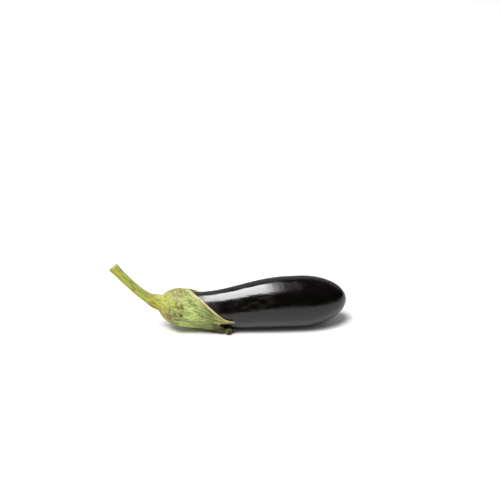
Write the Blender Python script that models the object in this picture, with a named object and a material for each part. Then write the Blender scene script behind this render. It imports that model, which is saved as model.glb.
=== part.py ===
"""A small black eggplant lying on its side: fruit, green calyx and cut stem.

Blender 4.5, metres, +Z up. The blossom end points along +X and the stem along -X.
The fruit rests on a small flat spot at z = 0, and the origin is under the middle of the box round it all.

Every cross-section is placed by its run: the distance along -X from the tip of the blossom end. It stands
square to the centreline, and a bearing goes round it, from 0 on the -Y side through 90 degrees on top.
"""

import math

import bmesh
import bpy
from mathutils import Vector

# Fruit
FRUIT_LENGTH = 0.1475
BELLY_RADIUS = 0.0212
NECK_RADIUS = 0.0137
BLOSSOM_CAP_LENGTH = 0.0390
SHOULDER_LENGTH = 0.0135
BELLY_LENGTH = 0.0480
SHOULDER_RUN = FRUIT_LENGTH - SHOULDER_LENGTH

# How the fruit lies: its underside is straight where it touches and bows up both ways from there
BLOSSOM_BOW_LENGTH = 0.0500
BLOSSOM_BOW_RADIUS = 0.900
NECK_BOW_LENGTH = 0.0540
NECK_BOW_RADIUS = 0.225
FLAT_SPOT_DEPTH = 0.00035

# Calyx
FIT_GAP = 0.0003
SHOULDER_THICKNESS = 0.00165
CROWN_THICKNESS = 0.0045
COLLAR_LENGTH = 0.0006
CROWN_RUN = FRUIT_LENGTH + CROWN_THICKNESS
JOINT_RUN = CROWN_RUN + COLLAR_LENGTH
RIM_THICKNESS = 0.0008
THINNING_LENGTH = 0.0860
FILLET_POWER = 4.0
LOBE_LIFT = 0.0010
LIFT_FROM = 0.0200
LIFT_LENGTH = 0.0200
SINUS_ROUNDING = 0.15
TAIL_HALF_ANGLE = math.radians(7.0)

# Each lobe: bearing of its tip, its reach from the shoulder and the length of the thin tail on it, in metres,
# then bearing and reach of the notch that comes after it
LOBES = (
    (-165.0, 0.0220, 0.0060, -140.0, 0.0120),
    (-113.0, 0.0170, 0.0040, -87.0, 0.0130),
    (-50.0, 0.0300, 0.0025, -27.0, 0.0270),
    (-14.0, 0.0340, 0.0060, 103.0, 0.0010),
    (150.0, 0.0170, 0.0050, 172.0, 0.0110),
)

# Stem
STEM_LENGTH = 0.0480
STEM_RADIUS = 0.0038
STEM_BASE_RADIUS = 0.0063
STEM_FLARE_LENGTH = 0.0085
STEM_TURN_UP = math.radians(29.0)
STEM_TURN_BACK = math.radians(12.0)
STEM_TURN_EASE = 3.0
STEM_RIDGES = 5
STEM_RIDGE_SHARE = 0.04
CUT_FLARE = 0.0005
CUT_FLARE_LENGTH = 0.0040

# Mesh fineness
FRUIT_SIDES = 40
FRUIT_RINGS = 30
RIM_STEP = math.radians(8.0)
LEAST_FLANK_STEPS = 4
TIP_CROWDING = 1.3
CALYX_OUTER_STEPS = 15
LOBE_INNER_STEPS = 6
SHOULDER_STEPS = 6
STEM_SIDES = 20
STEM_RINGS = 16
SLOPE_STEP = 1e-5

FULL_TURN = 2.0 * math.pi


def smoothstep(low, high, value):
    """0 below low, 1 above high, and a smooth rise between."""
    share = min(max((value - low) / (high - low), 0.0), 1.0)
    return share * share * (3.0 - 2.0 * share)


def ellipse(share):
    """Height of a quarter ellipse, from 1 at share 0 to 0 at share 1."""
    return math.sqrt(max(1.0 - share * share, 0.0))


def body_radius(run):
    """Radius of the fruit's body, with no rounded ends."""
    return BELLY_RADIUS + (NECK_RADIUS - BELLY_RADIUS) * smoothstep(BELLY_LENGTH, SHOULDER_RUN, run)


def fruit_radius(run, gap=0.0):
    """Radius of the fruit, rounded at both ends, or of the calyx's hollow if a gap is given."""
    blossom = ellipse(max(BLOSSOM_CAP_LENGTH - run, 0.0) / BLOSSOM_CAP_LENGTH)
    past_shoulder = max(run - SHOULDER_RUN, 0.0)
    return (body_radius(run) + gap) * blossom * ellipse(past_shoulder / (SHOULDER_LENGTH + gap))


def clearance(run):
    """How far the fruit's underside has bowed up off the table."""
    neck = max(run - (SHOULDER_RUN - NECK_BOW_LENGTH), 0.0)
    blossom = max(BLOSSOM_BOW_LENGTH - run, 0.0)
    return neck**2 / (2.0 * NECK_BOW_RADIUS) + blossom**2 / (2.0 * BLOSSOM_BOW_RADIUS)


def centre(run):
    """Point of the centreline."""
    return Vector((-run, 0.0, body_radius(run) + clearance(run)))


def heading(run):
    """Unit vector along the centreline, towards the stem."""
    return (centre(run + SLOPE_STEP) - centre(run - SLOPE_STEP)).normalized()


def outward(along, bearing):
    """Unit vector square to along at that bearing."""
    across = Vector((0.0, 0.0, 1.0)).cross(along).normalized()
    up = along.cross(across)
    return across * math.cos(bearing) + up * math.sin(bearing)


def around(run, bearing, radius):
    """Point at that bearing and distance from the centreline."""
    return centre(run) + outward(heading(run), bearing) * radius


def add_node(name, bm, colour, roughness):
    """Makes a mesh object with its own material out of bm."""
    bmesh.ops.recalc_face_normals(bm, faces=bm.faces)
    mesh = bpy.data.meshes.new(name)
    bm.to_mesh(mesh)
    bm.free()
    mesh.shade_smooth()
    mesh.set_sharp_from_angle(angle=math.radians(50.0))
    material = bpy.data.materials.new(name)
    material.use_nodes = True
    shader = material.node_tree.nodes["Principled BSDF"]
    shader.inputs["Base Color"].default_value = (*colour, 1.0)
    shader.inputs["Roughness"].default_value = roughness
    mesh.materials.append(material)
    node = bpy.data.objects.new(name, mesh)
    bpy.context.scene.collection.objects.link(node)
    return node


def bridge(bm, first, second):
    """Joins two closed rings of as many vertices with quads."""
    for i, vertex in enumerate(first):
        j = (i + 1) % len(first)
        bm.faces.new((vertex, first[j], second[j], second[i]))


def fan(bm, ring, tip):
    """Closes a ring onto one vertex."""
    for i, vertex in enumerate(ring):
        bm.faces.new((vertex, ring[(i + 1) % len(ring)], tip))


def skin(bm, rings, first_tip, last_tip):
    """A closed surface through rings of points, with a point at each end."""
    made = [[bm.verts.new(point) for point in ring] for ring in rings]
    for first, second in zip(made, made[1:]):
        bridge(bm, first, second)
    fan(bm, made[0], bm.verts.new(first_tip))
    fan(bm, made[-1], bm.verts.new(last_tip))


def fruit_runs():
    """Runs of the fruit's rings, close together where the ends round off."""
    for k in range(1, FRUIT_RINGS):
        yield FRUIT_LENGTH * (1.0 - math.cos(math.pi * k / FRUIT_RINGS)) / 2.0


def make_fruit():
    """The fruit, cut flat where it rests."""
    bm = bmesh.new()
    bearings = [FULL_TURN * i / FRUIT_SIDES for i in range(FRUIT_SIDES)]
    rings = [[around(run, b, fruit_radius(run)) for b in bearings] for run in fruit_runs()]
    skin(bm, rings, centre(0.0), centre(FRUIT_LENGTH))
    cut = bmesh.ops.bisect_plane(
        bm,
        geom=bm.verts[:] + bm.edges[:] + bm.faces[:],
        plane_co=(0.0, 0.0, FLAT_SPOT_DEPTH),
        plane_no=(0.0, 0.0, -1.0),
        clear_outer=True,
    )
    edges = [item for item in cut["geom_cut"] if isinstance(item, bmesh.types.BMEdge)]
    bmesh.ops.contextual_create(bm, geom=edges)
    return add_node("fruit", bm, (0.012, 0.008, 0.012), 0.16)


def nearest_turn(bearing, other):
    """Signed angle from other to bearing, at most half a turn."""
    return (bearing - other + math.pi) % FULL_TURN - math.pi


def lobe_flanks():
    """Each side of each lobe as (notch bearing, notch reach, tip bearing, tip reach, tail length)."""
    for i, (tip, reach, tail, after, after_reach) in enumerate(LOBES):
        before, before_reach = LOBES[i - 1][3:]
        for notch, notch_reach in ((before, before_reach), (after, after_reach)):
            yield math.radians(notch), notch_reach, math.radians(tip), reach, tail


def rim_reach(share, notch_reach, tip_reach):
    """Reach of the rim from a rounded notch at share 0 to a pointed tip at share 1."""
    rise = math.hypot(share, SINUS_ROUNDING) - SINUS_ROUNDING
    full = math.hypot(1.0, SINUS_ROUNDING) - SINUS_ROUNDING
    return notch_reach + (tip_reach - notch_reach) * rise / full


def rim():
    """Sorted (bearing, reach) of the calyx's edge, closest together at the lobes' tips."""
    found = {}
    for notch, notch_reach, tip, tip_reach, tail in lobe_flanks():
        span = nearest_turn(notch, tip)
        steps = max(math.ceil(abs(span) / RIM_STEP), LEAST_FLANK_STEPS)
        for k in range(steps + 1):
            off_tip = (k / steps) ** TIP_CROWDING
            tail_here = tail * math.exp(-((off_tip * span / TAIL_HALF_ANGLE) ** 2))
            bearing = (tip + off_tip * span) % FULL_TURN
            found[round(bearing, 6)] = rim_reach(1.0 - off_tip, notch_reach, tip_reach) + tail_here
    return sorted(found.items())


def stem_radius(along):
    """Radius of the stem, at a distance from the joint with the calyx."""
    return STEM_RADIUS + (STEM_BASE_RADIUS - STEM_RADIUS) * math.exp(-((along / STEM_FLARE_LENGTH) ** 2))


def calyx_radius(run):
    """Outer radius of the calyx: thick over the shoulder, thin along the lobes, flowing into the stem."""
    thinned = smoothstep(0.0, THINNING_LENGTH, SHOULDER_RUN - run) ** 0.5
    thickness = SHOULDER_THICKNESS + (RIM_THICKNESS - SHOULDER_THICKNESS) * thinned
    crown = body_radius(run) + FIT_GAP + thickness
    if run <= SHOULDER_RUN:
        return crown
    crown *= ellipse((run - SHOULDER_RUN) / (CROWN_RUN - SHOULDER_RUN))
    base = stem_radius(JOINT_RUN - run)
    filleted = (crown**FILLET_POWER + base**FILLET_POWER) ** (1.0 / FILLET_POWER)
    blend = smoothstep(SHOULDER_RUN, (SHOULDER_RUN + CROWN_RUN) / 2.0, run)
    return crown + (filleted - crown) * blend


def lift(share, reach):
    """How far the calyx stands off the fruit, growing towards the tips of the long lobes."""
    return LOBE_LIFT * smoothstep(0.0, LIFT_LENGTH, reach - LIFT_FROM) * smoothstep(0.6, 1.0, share)


def hollow_runs(rim_run):
    """Runs up the inside of the calyx from the rim, even along the lobe and crowding over the shoulder."""
    for k in range(LOBE_INNER_STEPS):
        yield rim_run + (SHOULDER_RUN - rim_run) * k / LOBE_INNER_STEPS
    for k in range(SHOULDER_STEPS):
        yield SHOULDER_RUN + (SHOULDER_LENGTH + FIT_GAP) * math.sin(0.5 * math.pi * k / SHOULDER_STEPS)


def calyx_strip(bearing, reach):
    """Points down the outside of the calyx from the joint to the rim, and back up the inside."""
    rim_run = SHOULDER_RUN - reach
    points = []
    for k in range(CALYX_OUTER_STEPS + 1):
        share = (k / CALYX_OUTER_STEPS) ** 1.2
        run = JOINT_RUN + (rim_run - JOINT_RUN) * share
        points.append(around(run, bearing, calyx_radius(run) + lift(share, reach)))
    for run in hollow_runs(rim_run):
        share = (JOINT_RUN - run) / (JOINT_RUN - rim_run)
        points.append(around(run, bearing, fruit_radius(run, FIT_GAP) + lift(share, reach)))
    return points


def make_calyx():
    """The calyx: a cap of pointed lobes over the fruit's shoulder, flat where the stem joins it."""
    strips = [calyx_strip(bearing, reach) for bearing, reach in rim()]
    rings = [list(ring) for ring in zip(*strips)]
    bm = bmesh.new()
    skin(bm, rings, centre(JOINT_RUN), centre(FRUIT_LENGTH + FIT_GAP))
    return add_node("calyx", bm, (0.42, 0.47, 0.16), 0.6)


def stem_path():
    """(point, heading, distance from the joint) of each of the stem's rings, bending up and back."""
    start = heading(JOINT_RUN)
    rise = math.asin(start.z)
    turn = math.atan2(start.y, -start.x)
    point = centre(JOINT_RUN) + start * FIT_GAP
    step = STEM_LENGTH / STEM_RINGS
    path = []
    for k in range(STEM_RINGS + 1):
        eased = 1.0 - (1.0 - k / STEM_RINGS) ** STEM_TURN_EASE
        pitch = rise + STEM_TURN_UP * eased
        yaw = turn + STEM_TURN_BACK * eased
        level = math.cos(pitch)
        along = Vector((-level * math.cos(yaw), level * math.sin(yaw), math.sin(pitch)))
        if k:
            point = point + (along + path[-1][1]).normalized() * step
        path.append((point, along, k * step))
    return path


def make_stem():
    """The stem: ridged, flared at its base and a little at the cut end."""
    rings = []
    path = stem_path()
    for point, along, distance in path:
        cut = CUT_FLARE * math.exp(-(((STEM_LENGTH - distance) / CUT_FLARE_LENGTH) ** 2))
        radius = stem_radius(distance) + cut
        ridged = STEM_RIDGE_SHARE * smoothstep(0.0, STEM_FLARE_LENGTH, distance)
        ring = []
        for i in range(STEM_SIDES):
            bearing = FULL_TURN * i / STEM_SIDES
            bulge = 1.0 + ridged * math.cos(STEM_RIDGES * bearing)
            ring.append(point + outward(along, bearing) * radius * bulge)
        rings.append(ring)
    bm = bmesh.new()
    skin(bm, rings, path[0][0], path[-1][0])
    return add_node("stem", bm, (0.42, 0.46, 0.13), 0.6)


def settle(nodes):
    """Hangs the nodes on one empty, with the flat spot at z = 0 and their box's middle over the origin."""
    corners = [vertex.co for node in nodes for vertex in node.data.vertices]
    middle = [(min(c[axis] for c in corners) + max(c[axis] for c in corners)) / 2.0 for axis in (0, 1)]
    eggplant = bpy.data.objects.new("eggplant", None)
    eggplant.location = (-middle[0], -middle[1], -FLAT_SPOT_DEPTH)
    bpy.context.scene.collection.objects.link(eggplant)
    for node in nodes:
        node.parent = eggplant


def main():
    """Clears the scene and builds the eggplant."""
    for thing in list(bpy.data.objects):
        bpy.data.objects.remove(thing)
    settle([make_fruit(), make_calyx(), make_stem()])


main()
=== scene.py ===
"""The looks of a small black eggplant: glossy skin, lobed green calyx, ridged stem and dried curls.

Metres, +Z up. The blossom end points along +X and the stem along -X. Every cross-section is placed by its
run, the distance along -X from the tip of the blossom end, and stands square to the fruit's centreline. A
bearing goes round it, from 0 on the -Y side through 90 degrees on top.
"""

import logging
import math
from dataclasses import dataclass, field
from enum import Enum

import bmesh
import bpy
import numpy as np
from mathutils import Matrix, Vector, noise


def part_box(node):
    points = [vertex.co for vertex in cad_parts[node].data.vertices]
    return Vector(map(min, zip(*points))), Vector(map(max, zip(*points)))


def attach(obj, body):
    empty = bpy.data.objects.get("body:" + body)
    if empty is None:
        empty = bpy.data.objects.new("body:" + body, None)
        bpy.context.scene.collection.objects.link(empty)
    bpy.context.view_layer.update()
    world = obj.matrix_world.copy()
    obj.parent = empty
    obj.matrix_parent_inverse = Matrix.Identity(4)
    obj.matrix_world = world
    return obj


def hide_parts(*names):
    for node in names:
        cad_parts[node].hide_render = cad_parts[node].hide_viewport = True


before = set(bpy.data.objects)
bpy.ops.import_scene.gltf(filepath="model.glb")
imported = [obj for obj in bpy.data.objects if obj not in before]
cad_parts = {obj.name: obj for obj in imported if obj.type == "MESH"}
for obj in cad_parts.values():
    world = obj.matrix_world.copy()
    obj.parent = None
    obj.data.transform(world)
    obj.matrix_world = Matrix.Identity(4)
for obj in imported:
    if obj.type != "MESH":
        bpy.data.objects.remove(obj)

LOG = logging.getLogger("eggplant")
FULL_TURN = 2.0 * math.pi
MM = 0.001
CLEARANCE = 0.2 * MM

Array = np.ndarray
Socket = bpy.types.NodeSocket
Colour = tuple[float, float, float]


# ---------------------------------------------------------------------------------------------------------
# Numbers and noise
# ---------------------------------------------------------------------------------------------------------


def smoothstep(low: float, high: float, value: Array) -> Array:
    """A smooth rise from 0 to 1.

    Args:
        low: the value at and below which the result is 0.
        high: the value at and above which the result is 1.
        value: what is compared with them.

    Returns:
        The rise at each value.
    """
    share = np.clip((np.asarray(value, float) - low) / (high - low), 0.0, 1.0)
    return share * share * (3.0 - 2.0 * share)


def ellipse(share: Array) -> Array:
    """Height of a quarter ellipse, from 1 at share 0 to 0 at share 1."""
    return np.sqrt(np.maximum(1.0 - np.square(share), 0.0))


def bump_at(value: Array, width: float) -> Array:
    """A rounded hump of height 1 at value 0, that wide to each side."""
    return np.exp(-np.square(value / width))


def turn_between(bearing: Array, other: float) -> Array:
    """Signed angle from other to bearing, at most half a turn."""
    return (bearing - other + math.pi) % FULL_TURN - math.pi


def smooth_noise(points: Array, wavelength: float, stretch: float = 1.0, start: float = 0.0) -> Array:
    """Smooth noise at each point.

    Args:
        points: points in metres, with the lengthwise direction last.
        wavelength: size of the lumps, in metres.
        stretch: how many times longer the lumps are lengthwise.
        start: moves the pattern, so that two uses differ.

    Returns:
        A value for each point, roughly from -1 to 1.
    """
    flat = points.reshape(-1, 3) / wavelength
    flat = flat / (1.0, 1.0, stretch) + start
    values = [noise.noise(Vector(point)) for point in flat]
    return np.array(values).reshape(points.shape[:-1])


@dataclass(frozen=True)
class Lumps:
    """Smooth lumps on a surface.

    Attributes:
        height: how high they are, in metres.
        wavelength: how far apart they are, in metres.
        stretch: how many times longer they are lengthwise.
        start: moves them, so that two uses differ.
    """

    height: float
    wavelength: float
    stretch: float = 1.0
    start: float = 0.0

    def level(self, points: Array) -> Array:
        """How high each point is, roughly from -1 to 1."""
        return smooth_noise(points, self.wavelength, self.stretch, self.start)

    def at(self, points: Array) -> Array:
        """How high each point is, in metres."""
        return self.height * self.level(points)


# ---------------------------------------------------------------------------------------------------------
# The line that the fruit and the calyx are built round
# ---------------------------------------------------------------------------------------------------------


@dataclass(frozen=True)
class BodyLine:
    """The fruit's centreline and its radius along it.

    Attributes:
        tip_x: where the tip of the blossom end is.
        belly_radius: the fruit's radius at its fattest.
        length: the fruit's length.
        neck_radius: the fruit's radius under the calyx.
        blossom_cap_length: length over which the blossom end rounds off.
        shoulder_length: length over which the shoulder rounds off, under the calyx.
        belly_length: how far the fattest part reaches from the blossom end.
        blossom_bow_length: length that bows up towards the blossom end.
        blossom_bow_radius: radius of that bow.
        neck_bow_length: length that bows up towards the neck.
        neck_bow_radius: radius of that bow.
        flat_depth: how deep the fruit is pressed flat where it rests.
        fit_gap: gap between the calyx and the fruit.
    """

    tip_x: float
    belly_radius: float
    length: float = 0.1475
    neck_radius: float = 0.0137
    blossom_cap_length: float = 0.0390
    shoulder_length: float = 0.0135
    belly_length: float = 0.0480
    blossom_bow_length: float = 0.0500
    blossom_bow_radius: float = 0.900
    neck_bow_length: float = 0.0540
    neck_bow_radius: float = 0.225
    flat_depth: float = 0.00035
    fit_gap: float = 0.0003

    @property
    def shoulder_run(self) -> float:
        """Run at which the shoulder starts to round off."""
        return self.length - self.shoulder_length

    def body_radius(self, run: Array) -> Array:
        """Radius of the fruit's body, with no rounded ends."""
        taper = smoothstep(self.belly_length, self.shoulder_run, run)
        return self.belly_radius + (self.neck_radius - self.belly_radius) * taper

    def fruit_radius(self, run: Array, gap: float = 0.0) -> Array:
        """Radius of the fruit, rounded at both ends, or of a hollow that gap outside it.

        Args:
            run: where the cross-sections are.
            gap: how far outside the fruit.

        Returns:
            The radius at each run.
        """
        from_cap = np.maximum(self.blossom_cap_length - run, 0.0) / self.blossom_cap_length
        past_shoulder = np.maximum(run - self.shoulder_run, 0.0) / (self.shoulder_length + gap)
        return (self.body_radius(run) + gap) * ellipse(from_cap) * ellipse(past_shoulder)

    def height(self, run: Array) -> Array:
        """Height of the centreline above the surface that the fruit rests on.

        Args:
            run: where the cross-sections are.

        Returns:
            The height at each run.
        """
        neck = np.maximum(run - (self.shoulder_run - self.neck_bow_length), 0.0)
        blossom = np.maximum(self.blossom_bow_length - run, 0.0)
        bow = neck**2 / (2.0 * self.neck_bow_radius) + blossom**2 / (2.0 * self.blossom_bow_radius)
        return self.body_radius(run) + bow - self.flat_depth

    def rise(self, run: Array) -> Array:
        """Angle by which the centreline climbs towards the stem."""
        step = 1e-5
        return np.arctan((self.height(run + step) - self.height(run - step)) / (2.0 * step))

    def around(self, run: Array, bearing: Array, radius: Array) -> Array:
        """Points at that bearing and distance from the centreline.

        Args:
            run: where the cross-sections are.
            bearing: angle round them.
            radius: distance from the centreline.

        Returns:
            The points, one more axis than the arguments.
        """
        rise = self.rise(run)
        up = radius * np.sin(bearing)
        x = self.tip_x - run + up * np.sin(rise)
        y = -radius * np.cos(bearing)
        z = self.height(run) + up * np.cos(rise)
        return np.stack(np.broadcast_arrays(x, y, z), axis=-1)

    def grain(self, run: Array, bearing: Array, radius: Array) -> Array:
        """The same points with the centreline straightened along the third axis, for patterns."""
        across = radius * np.cos(bearing)
        return np.stack(np.broadcast_arrays(across, radius * np.sin(bearing), run), axis=-1)


# ---------------------------------------------------------------------------------------------------------
# Meshes
# ---------------------------------------------------------------------------------------------------------


@dataclass
class Surface:
    """A closed surface through rings of points, with values on its points for the finish.

    Attributes:
        rings: the points, as rings x points round each x 3.
        first_tip: the point that closes the first ring.
        last_tip: the point that closes the last ring.
        values: a value for each of the rings' points, by name.
        vectors: a vector for each of the rings' points, by name.
        crease: angle past which an edge is left sharp.
    """

    rings: Array
    first_tip: Array
    last_tip: Array
    values: dict[str, Array] = field(default_factory=dict)
    vectors: dict[str, Array] = field(default_factory=dict)
    crease: float = math.radians(60.0)

    def faces(self) -> list[tuple[int, ...]]:
        """Quads between the rings and a fan over each end.

        Returns:
            The faces, as the numbers of their points.
        """
        count, sides = self.rings.shape[:2]
        first, last = count * sides, count * sides + 1
        faces: list[tuple[int, ...]] = []
        for ring in range(count - 1):
            here, there = ring * sides, (ring + 1) * sides
            for i in range(sides):
                j = (i + 1) % sides
                faces.append((here + i, there + i, there + j, here + j))
        for i in range(sides):
            j = (i + 1) % sides
            faces.append((first, i, j))
            faces.append((last, (count - 1) * sides + j, (count - 1) * sides + i))
        return faces

    def _with_tips(self, per_point: Array) -> Array:
        """Values of the rings' points, then of the two tips, which take their ring's mean.

        Args:
            per_point: a value or vector for each of the rings' points.

        Returns:
            The values in the order of the mesh's points.
        """
        flat = per_point.reshape(-1, *per_point.shape[2:])
        ends = (per_point[0].mean(axis=0), per_point[-1].mean(axis=0))
        return np.concatenate([flat, np.stack(ends)]).astype(np.float32)

    def build(self, name: str) -> bpy.types.Object:
        """Makes the surface.

        Args:
            name: the piece's name.

        Returns:
            The new object, in the scene and shaded smooth.
        """
        points = np.concatenate([self.rings.reshape(-1, 3), [self.first_tip, self.last_tip]])
        mesh = bpy.data.meshes.new(name)
        mesh.from_pydata(points.tolist(), [], self.faces())
        for label, per_point in self.values.items():
            attribute = mesh.attributes.new(label, "FLOAT", "POINT")
            attribute.data.foreach_set("value", self._with_tips(per_point))
        for label, per_point in self.vectors.items():
            attribute = mesh.attributes.new(label, "FLOAT_VECTOR", "POINT")
            attribute.data.foreach_set("vector", self._with_tips(per_point).ravel())
        bm = bmesh.new()
        bm.from_mesh(mesh)
        bmesh.ops.recalc_face_normals(bm, faces=bm.faces)
        bm.to_mesh(mesh)
        bm.free()
        mesh.shade_smooth()
        mesh.set_sharp_from_angle(angle=self.crease)
        piece = bpy.data.objects.new(name, mesh)
        bpy.context.scene.collection.objects.link(piece)
        return piece


# ---------------------------------------------------------------------------------------------------------
# Finishes
# ---------------------------------------------------------------------------------------------------------


@dataclass(frozen=True)
class Pattern:
    """A pattern on a surface.

    Attributes:
        across: its lumps per metre across the grain.
        along: its lumps per metre along the grain.
        detail: how many finer layers it has.
        rough: how strong those layers are.
        follows: the mesh's vector that it follows.
    """

    across: float
    along: float
    detail: float = 2.0
    rough: float = 0.5
    follows: str = "grain"


class Graph:
    """A material's nodes, with short calls that add and join them."""

    def __init__(self, name: str) -> None:
        """Starts a material that has only its shader and its output.

        Args:
            name: the material's name.
        """
        self.material = bpy.data.materials.new(name)
        self.material.use_nodes = True
        self.nodes = self.material.node_tree.nodes
        self.links = self.material.node_tree.links
        self.shader = self.nodes["Principled BSDF"]

    def node(self, kind: str, **sockets: object) -> bpy.types.Node:
        """Adds a node.

        Args:
            kind: the node's type.
            **sockets: what its inputs are set or joined to, by name with _ for a space.

        Returns:
            The new node.
        """
        made = self.nodes.new(kind)
        for label, value in sockets.items():
            self.join(made.inputs[label.replace("_", " ")], value)
        return made

    def join(self, socket: Socket, value: object) -> None:
        """Sets an input to a number or colour, or joins it to another node's output.

        Args:
            socket: the input.
            value: the number, colour or output.
        """
        if isinstance(value, Socket):
            self.links.new(value, socket)
        elif isinstance(value, tuple) and len(value) == 3 and socket.type == "RGBA":
            socket.default_value = (*value, 1.0)
        else:
            socket.default_value = value

    def value_of(self, name: str) -> Socket:
        """The mesh's value of that name.

        Args:
            name: the value's name.

        Returns:
            The value.
        """
        made = self.node("ShaderNodeAttribute")
        made.attribute_name = name
        return made.outputs["Fac"]

    def place(self, pattern: Pattern) -> Socket:
        """The mesh's straightened position, scaled to the pattern.

        Args:
            pattern: the pattern.

        Returns:
            The position, with one lump to each unit.
        """
        made = self.node("ShaderNodeAttribute")
        made.attribute_name = pattern.follows
        scale = (pattern.across, pattern.across, pattern.along)
        scaled = self.node("ShaderNodeMapping", Vector=made.outputs["Vector"], Scale=scale)
        return scaled.outputs["Vector"]

    def noise(self, pattern: Pattern) -> Socket:
        """Noise, mostly between 0.3 and 0.7.

        Args:
            pattern: the noise's size and detail.

        Returns:
            The noise.
        """
        made = self.node(
            "ShaderNodeTexNoise",
            Vector=self.place(pattern),
            Scale=1.0,
            Detail=pattern.detail,
            Roughness=pattern.rough,
        )
        return made.outputs["Fac"]

    def cells(self, pattern: Pattern) -> Socket:
        """Distance to the nearest of scattered points, one for each of the pattern's lumps."""
        made = self.node("ShaderNodeTexVoronoi", Vector=self.place(pattern), Scale=1.0)
        return made.outputs["Distance"]

    def net(self, pattern: Pattern, wander: float) -> Socket:
        """Distance to the nearest line of a net, whose lines wander by that many cells.

        Args:
            pattern: the net's size and detail.
            wander: how far the lines wander, in cells.

        Returns:
            The distance, 0 on a line.
        """
        place = self.place(pattern)
        stray = self.node("ShaderNodeTexNoise", Vector=place, Scale=1.0, Detail=pattern.detail)
        strayed = self.node("ShaderNodeVectorMath")
        strayed.operation = "MULTIPLY_ADD"
        self.join(strayed.inputs[0], stray.outputs["Color"])
        self.join(strayed.inputs[1], (wander, wander, wander))
        self.join(strayed.inputs[2], place)
        made = self.node("ShaderNodeTexVoronoi", Vector=strayed.outputs["Vector"], Scale=1.0)
        made.feature = "DISTANCE_TO_EDGE"
        return made.outputs["Distance"]

    def range(
        self, value: object, low: float, high: float, at_low: float = 0.0, at_high: float = 1.0
    ) -> Socket:
        """A smooth change from at_low to at_high as value goes from low to high.

        Args:
            value: what drives the change.
            low: the value at which it starts.
            high: the value at which it ends.
            at_low: the result at and before the start.
            at_high: the result at and past the end.

        Returns:
            The result.
        """
        made = self.node("ShaderNodeMapRange")
        made.interpolation_type = "SMOOTHSTEP"
        wanted = {"Value": value, "From Min": low, "From Max": high, "To Min": at_low, "To Max": at_high}
        for label, given in wanted.items():
            self.join(made.inputs[label], given)
        return made.outputs["Result"]

    def maths(self, operation: str, first: object, second: object = 0.0) -> Socket:
        """One arithmetic step on two values.

        Args:
            operation: what is done with them.
            first: the first value.
            second: the second value.

        Returns:
            The result.
        """
        made = self.node("ShaderNodeMath")
        made.operation = operation
        self.join(made.inputs[0], first)
        self.join(made.inputs[1], second)
        return made.outputs["Value"]

    def plus(self, first: object, second: object) -> Socket:
        """Both values together."""
        return self.maths("ADD", first, second)

    def times(self, *values: object) -> Socket:
        """Product of the values.

        Args:
            *values: numbers or outputs.

        Returns:
            The product.
        """
        product = values[0]
        for value in values[1:]:
            product = self.maths("MULTIPLY", product, value)
        return product

    def mix(self, share: object, below: object, above: object) -> Socket:
        """Lays one colour over another.

        Args:
            share: how much of the upper colour shows.
            below: the lower colour.
            above: the upper colour.

        Returns:
            The mixed colour.
        """
        made = self.node("ShaderNodeMix")
        made.data_type = "RGBA"
        self.join(made.inputs[0], share)
        self.join(made.inputs[6], below)
        self.join(made.inputs[7], above)
        return made.outputs[2]

    def bump(self, height: object, distance: float, strength: float, under: object = None) -> Socket:
        """Raises the surface by height times distance in metres, on top of another bump.

        Args:
            height: what raises it.
            distance: how far a height of 1 does.
            strength: how much of that shows.
            under: the other bump.

        Returns:
            The bumped normal.
        """
        made = self.node("ShaderNodeBump", Height=height, Distance=distance, Strength=strength)
        if under is not None:
            self.join(made.inputs["Normal"], under)
        return made.outputs["Normal"]

    def finish(self, colour: object, roughness: object, normal: object, **fixed: float) -> bpy.types.Material:
        """Joins up the shader.

        Args:
            colour: base colour.
            roughness: roughness.
            normal: the bumped normal.
            **fixed: other inputs of the shader, by name with _ for a space, which stay plain numbers.

        Returns:
            The material.
        """
        self.join(self.shader.inputs["Base Color"], colour)
        self.join(self.shader.inputs["Roughness"], roughness)
        self.join(self.shader.inputs["Normal"], normal)
        for label, value in fixed.items():
            self.join(self.shader.inputs[label.replace("_", " ")], value)
        return self.material


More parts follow.
